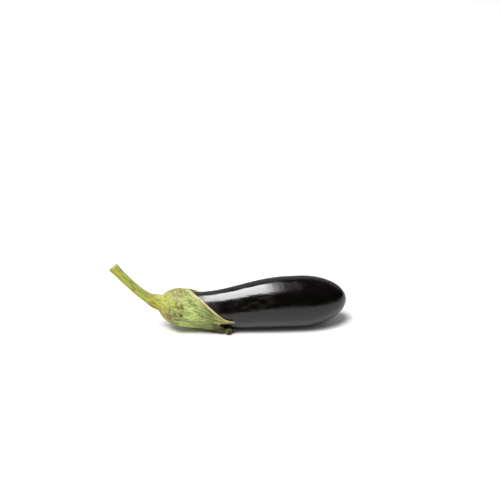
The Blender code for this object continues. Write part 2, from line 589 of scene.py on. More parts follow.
@dataclass(frozen=True)
class SkinFinish:
    """Glossy, waxy, almost black skin with a corky scar at the blossom end."""

    black: Colour = (0.0013, 0.0013, 0.0009)
    purple: Colour = (0.0036, 0.0021, 0.0026)
    calyx_edge_tint: Colour = (0.026, 0.0095, 0.012)
    bloom: Colour = (0.034, 0.027, 0.035)
    dust_and_reflection: Colour = (0.017, 0.016, 0.013)
    cork: Colour = (0.30, 0.22, 0.10)
    cork_dark: Colour = (0.12, 0.075, 0.035)
    fleck: Colour = (0.11, 0.085, 0.060)
    clouds: Pattern = Pattern(70.0, 30.0, 3.0)
    streaks: Pattern = Pattern(700.0, 60.0)
    bloom_patches: Pattern = Pattern(160.0, 55.0, 3.0, 0.6)
    dust_patches: Pattern = Pattern(260.0, 130.0, 4.0, 0.7)
    fleck_spots: Pattern = Pattern(300.0, 170.0)
    fleck_groups: Pattern = Pattern(110.0, 80.0, 1.0)
    cork_grain: Pattern = Pattern(1500.0, 1500.0, 3.0)
    wax: Pattern = Pattern(190.0, 90.0, 3.0, 0.6)
    pebble_patches: Pattern = Pattern(60.0, 30.0, 1.0)
    pebbles: Pattern = Pattern(1000.0, 900.0, 1.5, 0.5)
    dimples: Pattern = Pattern(360.0, 260.0, 1.0)
    pebble_height: float = 0.00016
    dimple_height: float = 0.00026
    gloss: float = 0.12
    gloss_change: float = 0.09
    neck_dullness: float = 0.05
    scar_dullness: float = 0.55
    belly_pebbles: float = 1.6
    index: float = 1.43

    def _colour(self, g: Graph) -> Socket:
        """Black with purple clouds, waxy bloom, dust made heavier off the belly as a painted reflection,
        flecks and the scar.

        Args:
            g: the material's nodes.

        Returns:
            The colour.
        """
        streak = g.noise(self.streaks)
        neck, belly, scar = g.value_of("neck"), g.value_of("belly"), g.value_of("scar")
        shade = g.plus(g.times(g.noise(self.clouds), 0.65), g.times(streak, 0.35))
        colour = g.mix(g.range(shade, 0.40, 0.66), self.black, self.purple)
        colour = g.mix(g.times(g.range(g.noise(self.bloom_patches), 0.46, 0.70), neck), colour, self.bloom)
        # Dust patches, thinned on the belly: real dust, made heavier towards the neck as a painted reflection
        # of the lit table.
        dust_and_reflection_share = g.range(g.noise(self.dust_patches), 0.48, 0.68, 0.0, 0.55)
        colour = g.mix(g.times(dust_and_reflection_share, g.range(belly, 0.0, 1.0, 1.0, 0.2)), colour, self.dust_and_reflection)
        # A maroon tint beside the calyx's edge, lighter than the black skin.
        calyx_edge_tint = g.times(g.value_of("calyx_edge_tint"), g.range(streak, 0.3, 0.6, 0.5, 1.0))
        colour = g.mix(calyx_edge_tint, colour, self.calyx_edge_tint)
        flecks = g.range(g.cells(self.fleck_spots), 0.05, 0.10, 1.0, 0.0)
        flecks = g.times(flecks, g.range(g.noise(self.fleck_groups), 0.56, 0.66))
        colour = g.mix(g.times(flecks, 0.5), colour, self.fleck)
        cork = g.mix(g.range(g.noise(self.cork_grain), 0.38, 0.62), self.cork_dark, self.cork)
        return g.mix(scar, colour, cork)

    def _roughness(self, g: Graph) -> Socket:
        """Gloss that varies with the wax, duller on the neck and dull on the scar.

        Args:
            g: the material's nodes.

        Returns:
            The roughness.
        """
        waxed = g.range(g.noise(self.wax), 0.35, 0.70, self.gloss, self.gloss + self.gloss_change)
        waxed = g.plus(waxed, g.times(g.value_of("scar"), self.scar_dullness))
        return g.plus(waxed, g.times(g.value_of("neck"), self.neck_dullness))

    def build(self) -> bpy.types.Material:
        """Makes the material.

        Returns:
            The material.
        """
        g = Graph("skin")
        pebbled = g.range(g.noise(self.pebble_patches), 0.40, 0.60, 0.45, 1.0)
        pebbled = g.plus(pebbled, g.times(g.value_of("belly"), self.belly_pebbles))
        normal = g.bump(g.times(g.noise(self.pebbles), pebbled), self.pebble_height, 0.40)
        normal = g.bump(g.noise(self.dimples), self.dimple_height, 0.30, normal)
        return g.finish(self._colour(g), self._roughness(g), normal, IOR=self.index)


@dataclass(frozen=True)
class CalyxFinish:
    """Matt ribbed green with a cream edge, corky brown patches, dark specks, painted shade in its grooves and
    lime patches painted as light shining through it.
    """

    green: Colour = (0.505, 0.580, 0.190)
    pale: Colour = (0.650, 0.700, 0.300)
    lime: Colour = (0.325, 0.400, 0.052)
    grey_green: Colour = (0.335, 0.410, 0.134)
    far_green: Colour = (0.140, 0.166, 0.054)
    vein: Colour = (0.094, 0.116, 0.024)
    brown_vein: Colour = (0.150, 0.105, 0.026)
    cream: Colour = (0.440, 0.405, 0.175)
    cork: Colour = (0.150, 0.104, 0.034)
    scale: Colour = (0.396, 0.354, 0.172)
    speck: Colour = (0.040, 0.061, 0.009)
    dry: Colour = (0.066, 0.065, 0.023)
    yellow: Colour = (0.330, 0.326, 0.062)
    clouds: Pattern = Pattern(170.0, 90.0, 3.0, 0.6)
    crown_streaks: Pattern = Pattern(1100.0, 170.0, 3.0, 0.6)
    lobe_streaks: Pattern = Pattern(1500.0, 110.0, 3.0, 0.65, "vein")
    warp: Pattern = Pattern(330.0, 200.0)
    leather: Pattern = Pattern(620.0, 330.0, 3.0, 0.7, "vein")
    net_cells: Pattern = Pattern(560.0, 350.0)
    edge_widths: Pattern = Pattern(110.0, 110.0)
    line_gaps: Pattern = Pattern(260.0, 150.0)
    patches: Pattern = Pattern(300.0, 360.0, 3.0, 0.65)
    blotches: Pattern = Pattern(420.0, 330.0, 2.0, 0.6)
    scales: Pattern = Pattern(700.0, 700.0)
    dots: Pattern = Pattern(360.0, 230.0)
    dot_groups: Pattern = Pattern(200.0, 200.0, 1.0)
    stains: Pattern = Pattern(420.0, 200.0, 3.0, 0.6)
    grit: Pattern = Pattern(2400.0, 1500.0, 3.0, 0.6)
    net_wander: float = 1.4
    streak_height: float = 0.0009
    crack_depth: float = 0.0004
    grit_height: float = 0.00022
    cork_height: float = 0.0010
    index: float = 1.40
    specular: float = 0.25

    def _streaked(self, g: Graph, cloud: Socket, streak: Socket) -> Socket:
        """Clouded green with paler streaks."""
        colour = g.mix(g.range(cloud, 0.36, 0.64), self.grey_green, self.green)
        return g.mix(g.range(streak, 0.52, 0.72, 0.0, 0.75), colour, self.pale)

    def _lobes(self, g: Graph, colour: Socket, crown: Socket, streak: Socket, along: Socket) -> Socket:
        """Darker streaks and the lobes' darker, striped ends, both partly painted groove shade, then the
        browner shoulder, lime patches of painted light shining through, and painted shade in the ribs'
        grooves.

        Args:
            g: the material's nodes.
            colour: the colour so far.
            crown: 0 at the stem, 1 at the shoulder and more on the lobes.
            streak: the streaks.
            along: the lobes' own streaks.

        Returns:
            The colour.
        """
        # Darker where the streaks' bump is low: dark streaks, partly painted shade in their grooves.
        colour = g.mix(g.range(streak, 0.49, 0.36, 0.0, 0.9), colour, self.vein)
        colour = g.mix(g.range(crown, 1.30, 2.00, 0.0, 0.72), colour, self.far_green)
        far = g.range(crown, 1.45, 2.10)
        # Darker stripes where the lobes' streaks are bumped low: partly painted shade in their grooves.
        colour = g.mix(g.times(far, g.range(along, 0.53, 0.43), 0.7), colour, self.vein)
        colour = g.mix(g.times(far, g.range(along, 0.55, 0.66), 0.55), colour, self.green)
        colour = g.mix(g.range(crown, 1.05, 0.75, 0.0, 0.36), colour, self.cork)
        # Lime patches: painted light shining through the thin calyx.
        lime = g.times(g.value_of("lime"), g.range(streak, 0.34, 0.60, 0.35, 0.85))
        colour = g.mix(lime, colour, self.lime)
        # Painted shade: darker in the grooves between the mesh's ribs and folds.
        return g.mix(g.range(g.value_of("rib"), -0.10, -0.80, 0.0, 0.6), colour, self.vein)

    def _edged(self, g: Graph, colour: Socket, crown: Socket, streak: Socket, patch: Socket) -> Socket:
        """A cream band and margin along the edge, with a broken brown line inside them.

        Args:
            g: the material's nodes.
            colour: the colour so far.
            crown: 0 at the stem, 1 at the shoulder and more on the lobes.
            streak: the streaks.
            patch: the patches.

        Returns:
            The colour.
        """
        edge = g.value_of("edge")
        width = g.range(g.noise(self.edge_widths), 0.35, 0.68, 1.3, 3.6)
        from_edge = g.maths("DIVIDE", edge, width)
        band = g.times(g.range(from_edge, 0.55, 1.1, 0.80, 0.0), g.range(crown, 2.30, 1.70, 0.25, 1.0))
        colour = g.mix(g.times(band, g.range(streak, 0.36, 0.56, 0.1, 1.0)), colour, self.cream)
        margin = g.times(g.range(edge, 0.5, 1.1, 1.0, 0.0), g.range(patch, 0.36, 0.56, 0.35, 0.9))
        colour = g.mix(margin, colour, self.cream)
        line = g.times(g.range(from_edge, 0.80, 1.05), g.range(from_edge, 1.45, 1.15))
        line = g.times(line, g.range(g.noise(self.line_gaps), 0.46, 0.60), 0.9)
        return g.mix(line, colour, self.brown_vein)

    def _corky(self, g: Graph, crown: Socket, patch: Socket) -> tuple[Socket, Socket]:
        """How far the shoulder's weathering goes, and how corky each point is.

        Args:
            g: the material's nodes.
            crown: 0 at the stem, 1 at the shoulder and more on the lobes.
            patch: the patches.

        Returns:
            The two values.
        """
        shoulder = g.times(g.range(crown, 0.25, 0.7), g.range(crown, 1.25, 0.80))
        weathered = g.plus(g.times(shoulder, 0.12), g.times(g.value_of("scab"), 0.24))
        return shoulder, g.plus(patch, weathered)

    def _marked(self, g: Graph, colour: Socket, shoulder: Socket, corky: Socket) -> Socket:
        """Dark blotches, corky patches with pale scales, and dark dots.

        Args:
            g: the material's nodes.
            colour: the colour so far.
            shoulder: how weathered the shoulder is.
            corky: how corky it is.

        Returns:
            The colour.
        """
        blotch = g.times(shoulder, g.range(g.noise(self.blotches), 0.52, 0.64), 0.55)
        colour = g.mix(blotch, colour, self.vein)
        colour = g.mix(g.range(corky, 0.63, 0.71, 0.0, 0.85), colour, self.cork)
        scaly = g.times(g.value_of("scab"), g.range(g.noise(self.scales), 0.52, 0.62), 0.7)
        colour = g.mix(scaly, colour, self.scale)
        dots = g.range(g.cells(self.dots), 0.10, 0.17, 1.0, 0.0)
        dots = g.times(dots, g.range(g.noise(self.dot_groups), 0.52, 0.60))
        dots = g.maths("MAXIMUM", dots, g.value_of("spot"))
        return g.mix(g.times(dots, 0.85), colour, self.speck)

    def _ends(self, g: Graph, colour: Socket, crown: Socket, around: Socket, patch: Socket) -> Socket:
        """Yellow with brown stains beside the stem, and dried out at one lobe's end.

        Args:
            g: the material's nodes.
            colour: the colour so far.
            crown: 0 at the stem, 1 at the shoulder and more on the lobes.
            around: the crown's own streaks.
            patch: the patches.

        Returns:
            The colour.
        """
        near_stem = g.times(g.range(crown, 0.45, 0.05), g.range(around, 0.30, 0.55, 0.6, 1.0))
        colour = g.mix(near_stem, colour, self.yellow)
        stained = g.times(g.range(g.noise(self.stains), 0.51, 0.61), g.range(crown, 0.50, 0.10), 0.7)
        colour = g.mix(stained, colour, self.cork)
        dry = g.times(g.value_of("dry"), g.range(patch, 0.35, 0.6, 0.7, 1.0))
        return g.mix(dry, colour, self.dry)

    def build(self) -> bpy.types.Material:
        """Makes the material.

        Returns:
            The material.
        """
        g = Graph("calyx_green")
        crown, cloud, patch = g.value_of("crown"), g.noise(self.clouds), g.noise(self.patches)
        around, along, warp = g.noise(self.crown_streaks), g.noise(self.lobe_streaks), g.noise(self.warp)
        on_lobe, off_lobe = g.range(crown, 0.85, 1.25), g.range(crown, 0.85, 1.25, 1.0, 0.0)
        streak = g.plus(g.times(along, on_lobe), g.times(around, off_lobe))
        crack = g.plus(g.times(g.noise(self.leather), 0.75), g.times(warp, 0.25))
        crack = g.maths("ABSOLUTE", g.maths("SUBTRACT", crack, 0.5))
        crack = g.times(g.range(crack, 0.024, 0.0), g.range(cloud, 0.62, 0.45))
        net = g.range(g.net(self.net_cells, self.net_wander), 0.17, 0.0)
        net = g.times(net, g.range(warp, 0.62, 0.40, 0.25, 1.0))

        colour = self._streaked(g, cloud, streak)
        colour = g.mix(g.times(crack, 0.6), colour, self.vein)
        colour = g.mix(g.times(net, 0.5), colour, self.vein)
        colour = self._lobes(g, colour, crown, streak, along)
        colour = self._edged(g, colour, crown, streak, patch)
        shoulder, corky = self._corky(g, crown, patch)
        colour = self._marked(g, colour, shoulder, corky)
        colour = self._ends(g, colour, crown, around, patch)

        normal = g.bump(streak, self.streak_height, 0.75)
        normal = g.bump(g.plus(crack, g.times(net, 0.6)), -self.crack_depth, 0.6, normal)
        normal = g.bump(g.noise(self.grit), self.grit_height, 0.5, normal)
        normal = g.bump(corky, self.cork_height, 0.40, normal)
        rough = g.range(cloud, 0.3, 0.7, 0.56, 0.72)
        return g.finish(colour, rough, normal, IOR=self.index, Specular_IOR_Level=self.specular)


@dataclass(frozen=True)
class StemFinish:
    """Matt yellow-green with brown streaks and painted shade in its grooves, and pale and fibrous where it is
    cut.
    """

    green: Colour = (0.248, 0.296, 0.053)
    yellow: Colour = (0.335, 0.321, 0.060)
    groove_shade: Colour = (0.105, 0.123, 0.016)
    brown: Colour = (0.167, 0.104, 0.016)
    pith: Colour = (0.360, 0.340, 0.133)
    bark: Colour = (0.124, 0.088, 0.028)
    clouds: Pattern = Pattern(260.0, 60.0)
    streaks: Pattern = Pattern(1100.0, 110.0, 3.0, 0.6)
    stains: Pattern = Pattern(330.0, 110.0, 3.0, 0.6)
    fibres: Pattern = Pattern(2600.0, 2600.0, 3.0, 0.6)
    streak_height: float = 0.0005
    fibre_height: float = 0.00022
    index: float = 1.40
    specular: float = 0.30

    def build(self) -> bpy.types.Material:
        """Makes the material.

        Returns:
            The material.
        """
        g = Graph("stem_green")
        cloud, streak, root = g.noise(self.clouds), g.noise(self.streaks), g.value_of("root")
        colour = g.mix(g.range(cloud, 0.38, 0.62), self.green, self.yellow)
        colour = g.mix(g.times(root, 0.8), colour, self.yellow)
        # Painted shade: darker green where the streaks are bumped low and in the grooves between the mesh's
        # ridges.
        colour = g.mix(g.range(streak, 0.50, 0.32, 0.0, 0.8), colour, self.groove_shade)
        colour = g.mix(g.range(g.value_of("rib"), 0.1, -0.9, 0.0, 0.6), colour, self.groove_shade)
        stain = g.plus(g.noise(self.stains), g.times(root, 0.05))
        colour = g.mix(g.range(stain, 0.55, 0.66, 0.0, 0.8), colour, self.brown)
        fibre = g.noise(self.fibres)
        pith = g.mix(g.range(fibre, 0.38, 0.62), self.brown, self.pith)
        pith = g.mix(g.value_of("cut_rim"), pith, self.bark)
        colour = g.mix(g.value_of("cut"), colour, pith)
        normal = g.bump(streak, self.streak_height, 0.7)
        normal = g.bump(fibre, self.fibre_height, 0.5, normal)
        rough = g.range(cloud, 0.3, 0.7, 0.52, 0.70)
        return g.finish(colour, rough, normal, IOR=self.index, Specular_IOR_Level=self.specular)


@dataclass(frozen=True)
class CurlFinish:
    """Dried calyx ends: dark olive brown, paler along their edges."""

    dark: Colour = (0.026, 0.028, 0.008)
    olive: Colour = (0.112, 0.109, 0.035)
    pale: Colour = (0.375, 0.352, 0.175)
    mottles: Pattern = Pattern(900.0, 350.0, 3.0, 0.6)
    pale_patches: Pattern = Pattern(500.0, 300.0, 1.0)
    mottle_height: float = 0.0004
    index: float = 1.40

    def build(self) -> bpy.types.Material:
        """Makes the material.

        Returns:
            The material.
        """
        g = Graph("dried_calyx")
        mottle = g.noise(self.mottles)
        colour = g.mix(g.range(mottle, 0.38, 0.62), self.dark, self.olive)
        pale = g.times(g.value_of("edge"), g.range(g.noise(self.pale_patches), 0.36, 0.52))
        colour = g.mix(pale, colour, self.pale)
        normal = g.bump(mottle, self.mottle_height, 0.6)
        return g.finish(colour, g.range(mottle, 0.3, 0.7, 0.55, 0.75), normal, IOR=self.index)


@dataclass(frozen=True)
class TableFinish:
    """Plain white surface, very slightly mottled."""

    white: Colour = (0.86, 0.86, 0.86)
    mottle_share: float = 0.985
    mottles_per_metre: float = 6.0
    roughness: float = 0.8

    def build(self) -> bpy.types.Material:
        """Makes the material.

        Returns:
            The material.
        """
        g = Graph("table_white")
        mottle = g.node("ShaderNodeTexNoise", Scale=self.mottles_per_metre, Detail=2.0).outputs["Fac"]
        shaded = tuple(self.mottle_share * part for part in self.white)
        return g.finish(g.mix(mottle, self.white, shaded), self.roughness, g.bump(mottle, 0.0001, 0.1))


# ---------------------------------------------------------------------------------------------------------
# Pieces
# ---------------------------------------------------------------------------------------------------------


@dataclass(frozen=True)
class Lobe:
    """One lobe of the calyx, and the notch after it.

    Attributes:
        bearing: bearing of its tip, in degrees.
        reach: how far it reaches past the shoulder.
        tail: length of the thin tail on it.
        notch_bearing: bearing of the notch, in degrees.
        notch_reach: how far the edge reaches past the shoulder in the notch.
    """

    bearing: float
    reach: float
    tail: float
    notch_bearing: float
    notch_reach: float


@dataclass(frozen=True)
class RimColumns:
    """The calyx's columns: their bearings, the edge's reach, and the lobe that each belongs to."""

    bearing: Array
    reach: Array
    tip: Array
    lobe: Array


@dataclass(frozen=True)
class Rim:
    """The calyx's edge: how far it reaches past the shoulder at each bearing.

    Attributes:
        lobes: the lobes, in the order of their bearings.
        sinus_rounding: how round the notches are.
        tail_half_angle: half the angle that a tail takes.
        column_step: angle between columns where they are widest apart.
        crowding: how much the columns crowd towards the tips.
        hollowing: how much the lobes' flanks curve inwards, 1 for straight.
    """

    lobes: tuple[Lobe, ...] = (
        Lobe(-165.0, 0.0220, 0.0060, -140.0, 0.0120),
        Lobe(-113.0, 0.0180, 0.0040, -87.0, 0.0130),
        Lobe(-41.0, 0.0300, 0.0014, -16.5, 0.0285),
        Lobe(-11.0, 0.0352, 0.0050, 110.0, 0.0010),
        Lobe(150.0, 0.0170, 0.0050, 172.0, 0.0110),
    )
    sinus_rounding: float = 0.08
    tail_half_angle: float = math.radians(3.4)
    column_step: float = math.radians(1.05)
    crowding: float = 1.5
    hollowing: float = 1.18

    def reach_of(self, lobe: Lobe, notch_reach: float, off_tip: float, span: float) -> float:
        """Reach of the edge on one flank of a lobe.

        Args:
            lobe: the lobe.
            notch_reach: reach of the notch beside that flank.
            off_tip: how far from the tip, from 0 to 1 at the notch.
            span: angle from the tip to the notch.

        Returns:
            The reach.
        """
        full = math.hypot(1.0, self.sinus_rounding) - self.sinus_rounding
        rounded = math.hypot(1.0 - off_tip, self.sinus_rounding) - self.sinus_rounding
        blunt = 0.25
        off = math.hypot(off_tip * span / self.tail_half_angle, blunt) - blunt
        risen = (rounded / full) ** self.hollowing
        return notch_reach + (lobe.reach - notch_reach) * risen + lobe.tail * math.exp(-off)

    def columns(self) -> RimColumns:
        """The calyx's columns, in order round the fruit.

        Returns:
            The columns.
        """
        found: dict[float, tuple[float, float, int]] = {}
        for i, lobe in enumerate(self.lobes):
            before = self.lobes[i - 1]
            tip = math.radians(lobe.bearing)
            for notch, notch_reach in (
                (before.notch_bearing, before.notch_reach),
                (lobe.notch_bearing, lobe.notch_reach),
            ):
                span = float(turn_between(math.radians(notch), tip))
                steps = max(math.ceil(abs(span) / self.column_step), 12)
                for k in range(steps + 1):
                    off_tip = (k / steps) ** self.crowding
                    reach = self.reach_of(lobe, notch_reach, off_tip, span)
                    found[round((tip + off_tip * span) % FULL_TURN, 6)] = (reach, tip, i)
        bearings = sorted(found)
        reach, tip, lobe_index = zip(*(found[bearing] for bearing in bearings))
        return RimColumns(np.array(bearings), np.array(reach), np.array(tip), np.array(lobe_index))


@dataclass(frozen=True)
class Fruit:
    """The fruit's skin.

    Attributes:
        line: the centreline that it is built round.
        rim: the calyx's edge, which tints the skin beside it.
        sides: points round it.
        body_rings: rings along it.
        lumps: its broad lumps.
        ripples: its small ripples.
        facets: how many shallow facets run lengthwise.
        facet_height: how high their edges are.
        scar_radius: radius of the blossom's scar.
        scar_depth: how deep the scar sits.
        scar_rim_height: height of the swelling round the scar.
        tint_length: how far from the calyx the skin is tinted.
        neck_run: run past which the skin is a little duller.
        belly_run: run short of which the skin is more pebbled.
        fade_length: length over which each of those changes.
    """

    line: BodyLine
    rim: Rim = Rim()
    sides: int = 200
    body_rings: int = 330
    lumps: Lumps = Lumps(0.00030, 0.022, 1.8, 3.1)
    ripples: Lumps = Lumps(0.00003, 0.0035, 1.6, 8.3)
    facets: int = 5
    facet_height: float = 0.00016
    scar_radius: float = 0.0027
    scar_depth: float = 0.0007
    scar_rim_height: float = 0.00012
    tint_length: float = 0.0060
    neck_run: float = 0.1000
    belly_run: float = 0.0720
    fade_length: float = 0.02

    def _relief(self, run: Array, bearing: Array, radius: Array) -> Array:
        """Height of the lumps, facets and ripples, fading out at both ends.

        Args:
            run: where the points are, lengthwise.
            bearing: angle round the fruit.
            radius: the skin's radius without them.

        Returns:
            The height in metres.
        """
        grain = self.line.grain(run, bearing, radius)
        waist = smoothstep(0.03, 0.11, run)
        facets = self.facet_height * waist * np.cos(self.facets * bearing + 0.7)
        body = np.minimum(radius / self.line.neck_radius, 1.0) ** 2
        return (self.lumps.at(grain) + self.ripples.at(grain) + facets) * body

    def _scar(self, radius: Array, run: Array, bearing: Array) -> Array:
        """How much of the blossom's ragged scar there is, from 0 to 1.

        Args:
            radius: the skin's radius.
            run: where the points are, lengthwise.
            bearing: angle round the fruit.

        Returns:
            The share.
        """
        at_tip = run < self.line.blossom_cap_length / 2.0
        ragged = 1.0 + 0.07 * np.cos(5.0 * bearing) + 0.05 * np.cos(8.0 * bearing + 1.0)
        share = radius / (self.scar_radius * ragged)
        return np.where(at_tip, 1.0 - smoothstep(0.66, 1.12, share), 0.0)

    def _calyx_edge_tint(self, run: Array, bearing: Array) -> Array:
        """Tint beside the calyx's edge, from 0 to 1 at the edge.

        Args:
            run: where the points are, lengthwise.
            bearing: angle round the fruit.

        Returns:
            The share.
        """
        columns = self.rim.columns()
        reach = np.interp(bearing % FULL_TURN, columns.bearing, columns.reach, period=FULL_TURN)
        bare = self.line.shoulder_run - reach - run
        return 1.0 - smoothstep(0.0, self.tint_length, bare)

    def build(self, finish: SkinFinish) -> bpy.types.Object:
        """Makes the skin and dresses it.

        Args:
            finish: what it is made to look like.

        Returns:
            The new piece.
        """
        share = np.arange(1, self.body_rings) / self.body_rings
        run = (self.line.length * (1.0 - np.cos(math.pi * share)) / 2.0)[:, None]
        bearing = (np.arange(self.sides) * FULL_TURN / self.sides)[None, :]
        radius = self.line.fruit_radius(run) + 0.0 * bearing
        scar = self._scar(radius, run, bearing)
        radius = radius + self._relief(run, bearing, radius)
        rim = bump_at((radius - 1.15 * self.scar_radius) / self.scar_radius, 0.35)
        rim = np.where(run < self.line.blossom_cap_length / 2.0, rim, 0.0)
        sunk = self.scar_depth * scar - self.scar_rim_height * rim
        points = self.line.around(run + sunk, bearing, radius)
        points[..., 2] = np.maximum(points[..., 2], 0.0)
        neck = smoothstep(self.neck_run, self.neck_run + self.fade_length, run) + 0.0 * bearing
        belly = 1.0 - smoothstep(self.belly_run - self.fade_length, self.belly_run, run) + 0.0 * bearing
        tips = self.line.around(np.array([self.scar_depth, self.line.length]), np.zeros(2), np.zeros(2))
        surface = Surface(
            points,
            tips[0],
            tips[1],
            {"scar": scar, "calyx_edge_tint": self._calyx_edge_tint(run, bearing), "neck": neck, "belly": belly},
            {"grain": self.line.grain(run, bearing, radius)},
        )
        piece = surface.build("fruit_skin")
        piece.data.materials.append(finish.build())
        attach(piece, "root")
        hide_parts("fruit")
        return piece


@dataclass(frozen=True)
class StemLine:
    """The stem's centreline and radius, from its joint with the calyx.

    Attributes:
        line: the fruit's centreline, which it carries on.
        joint_run: run of the joint.
        length: the stem's length.
        radius: its radius.
        base_radius: its radius at the joint.
        flare_length: length over which it flares to the joint.
        turn_up: how far it bends up.
        turn_back: how far it bends to +Y.
        turn_ease: how early it bends.
        ridges: how many ridges run along it.
        minor_ridges: how many lesser ridges run between them.
        ridge_share: their height as a share of its radius.
        cut_flare: how much it swells at the cut.
        cut_flare_length: length over which it swells.
    """

    line: BodyLine
    joint_run: float = 0.1526
    length: float = 0.0480
    radius: float = 0.0038
    base_radius: float = 0.0063
    flare_length: float = 0.0085
    turn_up: float = math.radians(29.0)
    turn_back: float = math.radians(12.0)
    turn_ease: float = 3.0
    ridges: int = 5
    minor_ridges: int = 11
    ridge_share: float = 0.055
    cut_flare: float = 0.0005
    cut_flare_length: float = 0.0040

    def radius_at(self, along: Array) -> Array:
        """Radius at a distance from the joint.

        Args:
            along: the distance from the joint.

        Returns:
            The radius.
        """
        flare = np.exp(-np.square(along / self.flare_length))
        swell = self.cut_flare * np.exp(-np.square((self.length - along) / self.cut_flare_length))
        return self.radius + (self.base_radius - self.radius) * flare + swell

    def ridge(self, bearing: Array, along: Array) -> Array:
        """Height of the ridges, from -1 to 1.

        Args:
            bearing: angle round the stem.
            along: the distance from the joint.

        Returns:
            The height.
        """
        main = np.cos(self.ridges * bearing + 0.4 * np.sin(along / 0.012))
        minor = np.cos(self.minor_ridges * bearing + 1.1 + along / 0.02)
        return 0.72 * main + 0.28 * minor

    def path(self, along: Array) -> tuple[Array, Array, Array]:
        """The stem's line.

        Args:
            along: evenly spaced distances from the joint, the first of them 0.

        Returns:
            The points, and unit vectors towards the cut end and across it.
        """
        joint = np.array([self.joint_run])
        rise = float(self.line.rise(joint)[0])
        eased = 1.0 - (1.0 - np.clip(along / self.length, 0.0, 1.0)) ** self.turn_ease
        pitch = rise + self.turn_up * eased
        yaw = self.turn_back * eased
        level = np.cos(pitch)
        heading = np.stack([-level * np.cos(yaw), level * np.sin(yaw), np.sin(pitch)], axis=-1)
        middle = (heading[1:] + heading[:-1]) / 2.0
        start = self.line.around(joint, np.zeros(1), np.zeros(1))[0]
        steps = middle * np.diff(along)[:, None]
        points = start + np.concatenate([np.zeros((1, 3)), np.cumsum(steps, axis=0)])
        across = np.cross((0.0, 0.0, 1.0), heading)
        across /= np.linalg.norm(across, axis=1)[:, None]
        return points, heading, across


@dataclass(frozen=True)
class Nub:
    """A small thorn on the calyx, by its bearing in degrees and its run past the shoulder."""

    bearing: float
    run: float
    height: float


class MarkKind(Enum):
    """What a mark on the calyx is."""

    SPOT = "spot"
    SCAB = "scab"
    # Lime patches are painted light shining through the thin calyx.
    LIME_LIT_THROUGH = "lime"


@dataclass(frozen=True)
class Mark:
    """A coloured mark on the calyx.

    Attributes:
        kind: what it is.
        bearing: its bearing, in degrees.
        run: its run.
        across: its radius round the calyx.
        along: its radius lengthwise.
        hollow: whether it is a ring rather than a blot.
    """

    kind: MarkKind
    bearing: float
    run: float
    across: float
    along: float
    hollow: bool = False


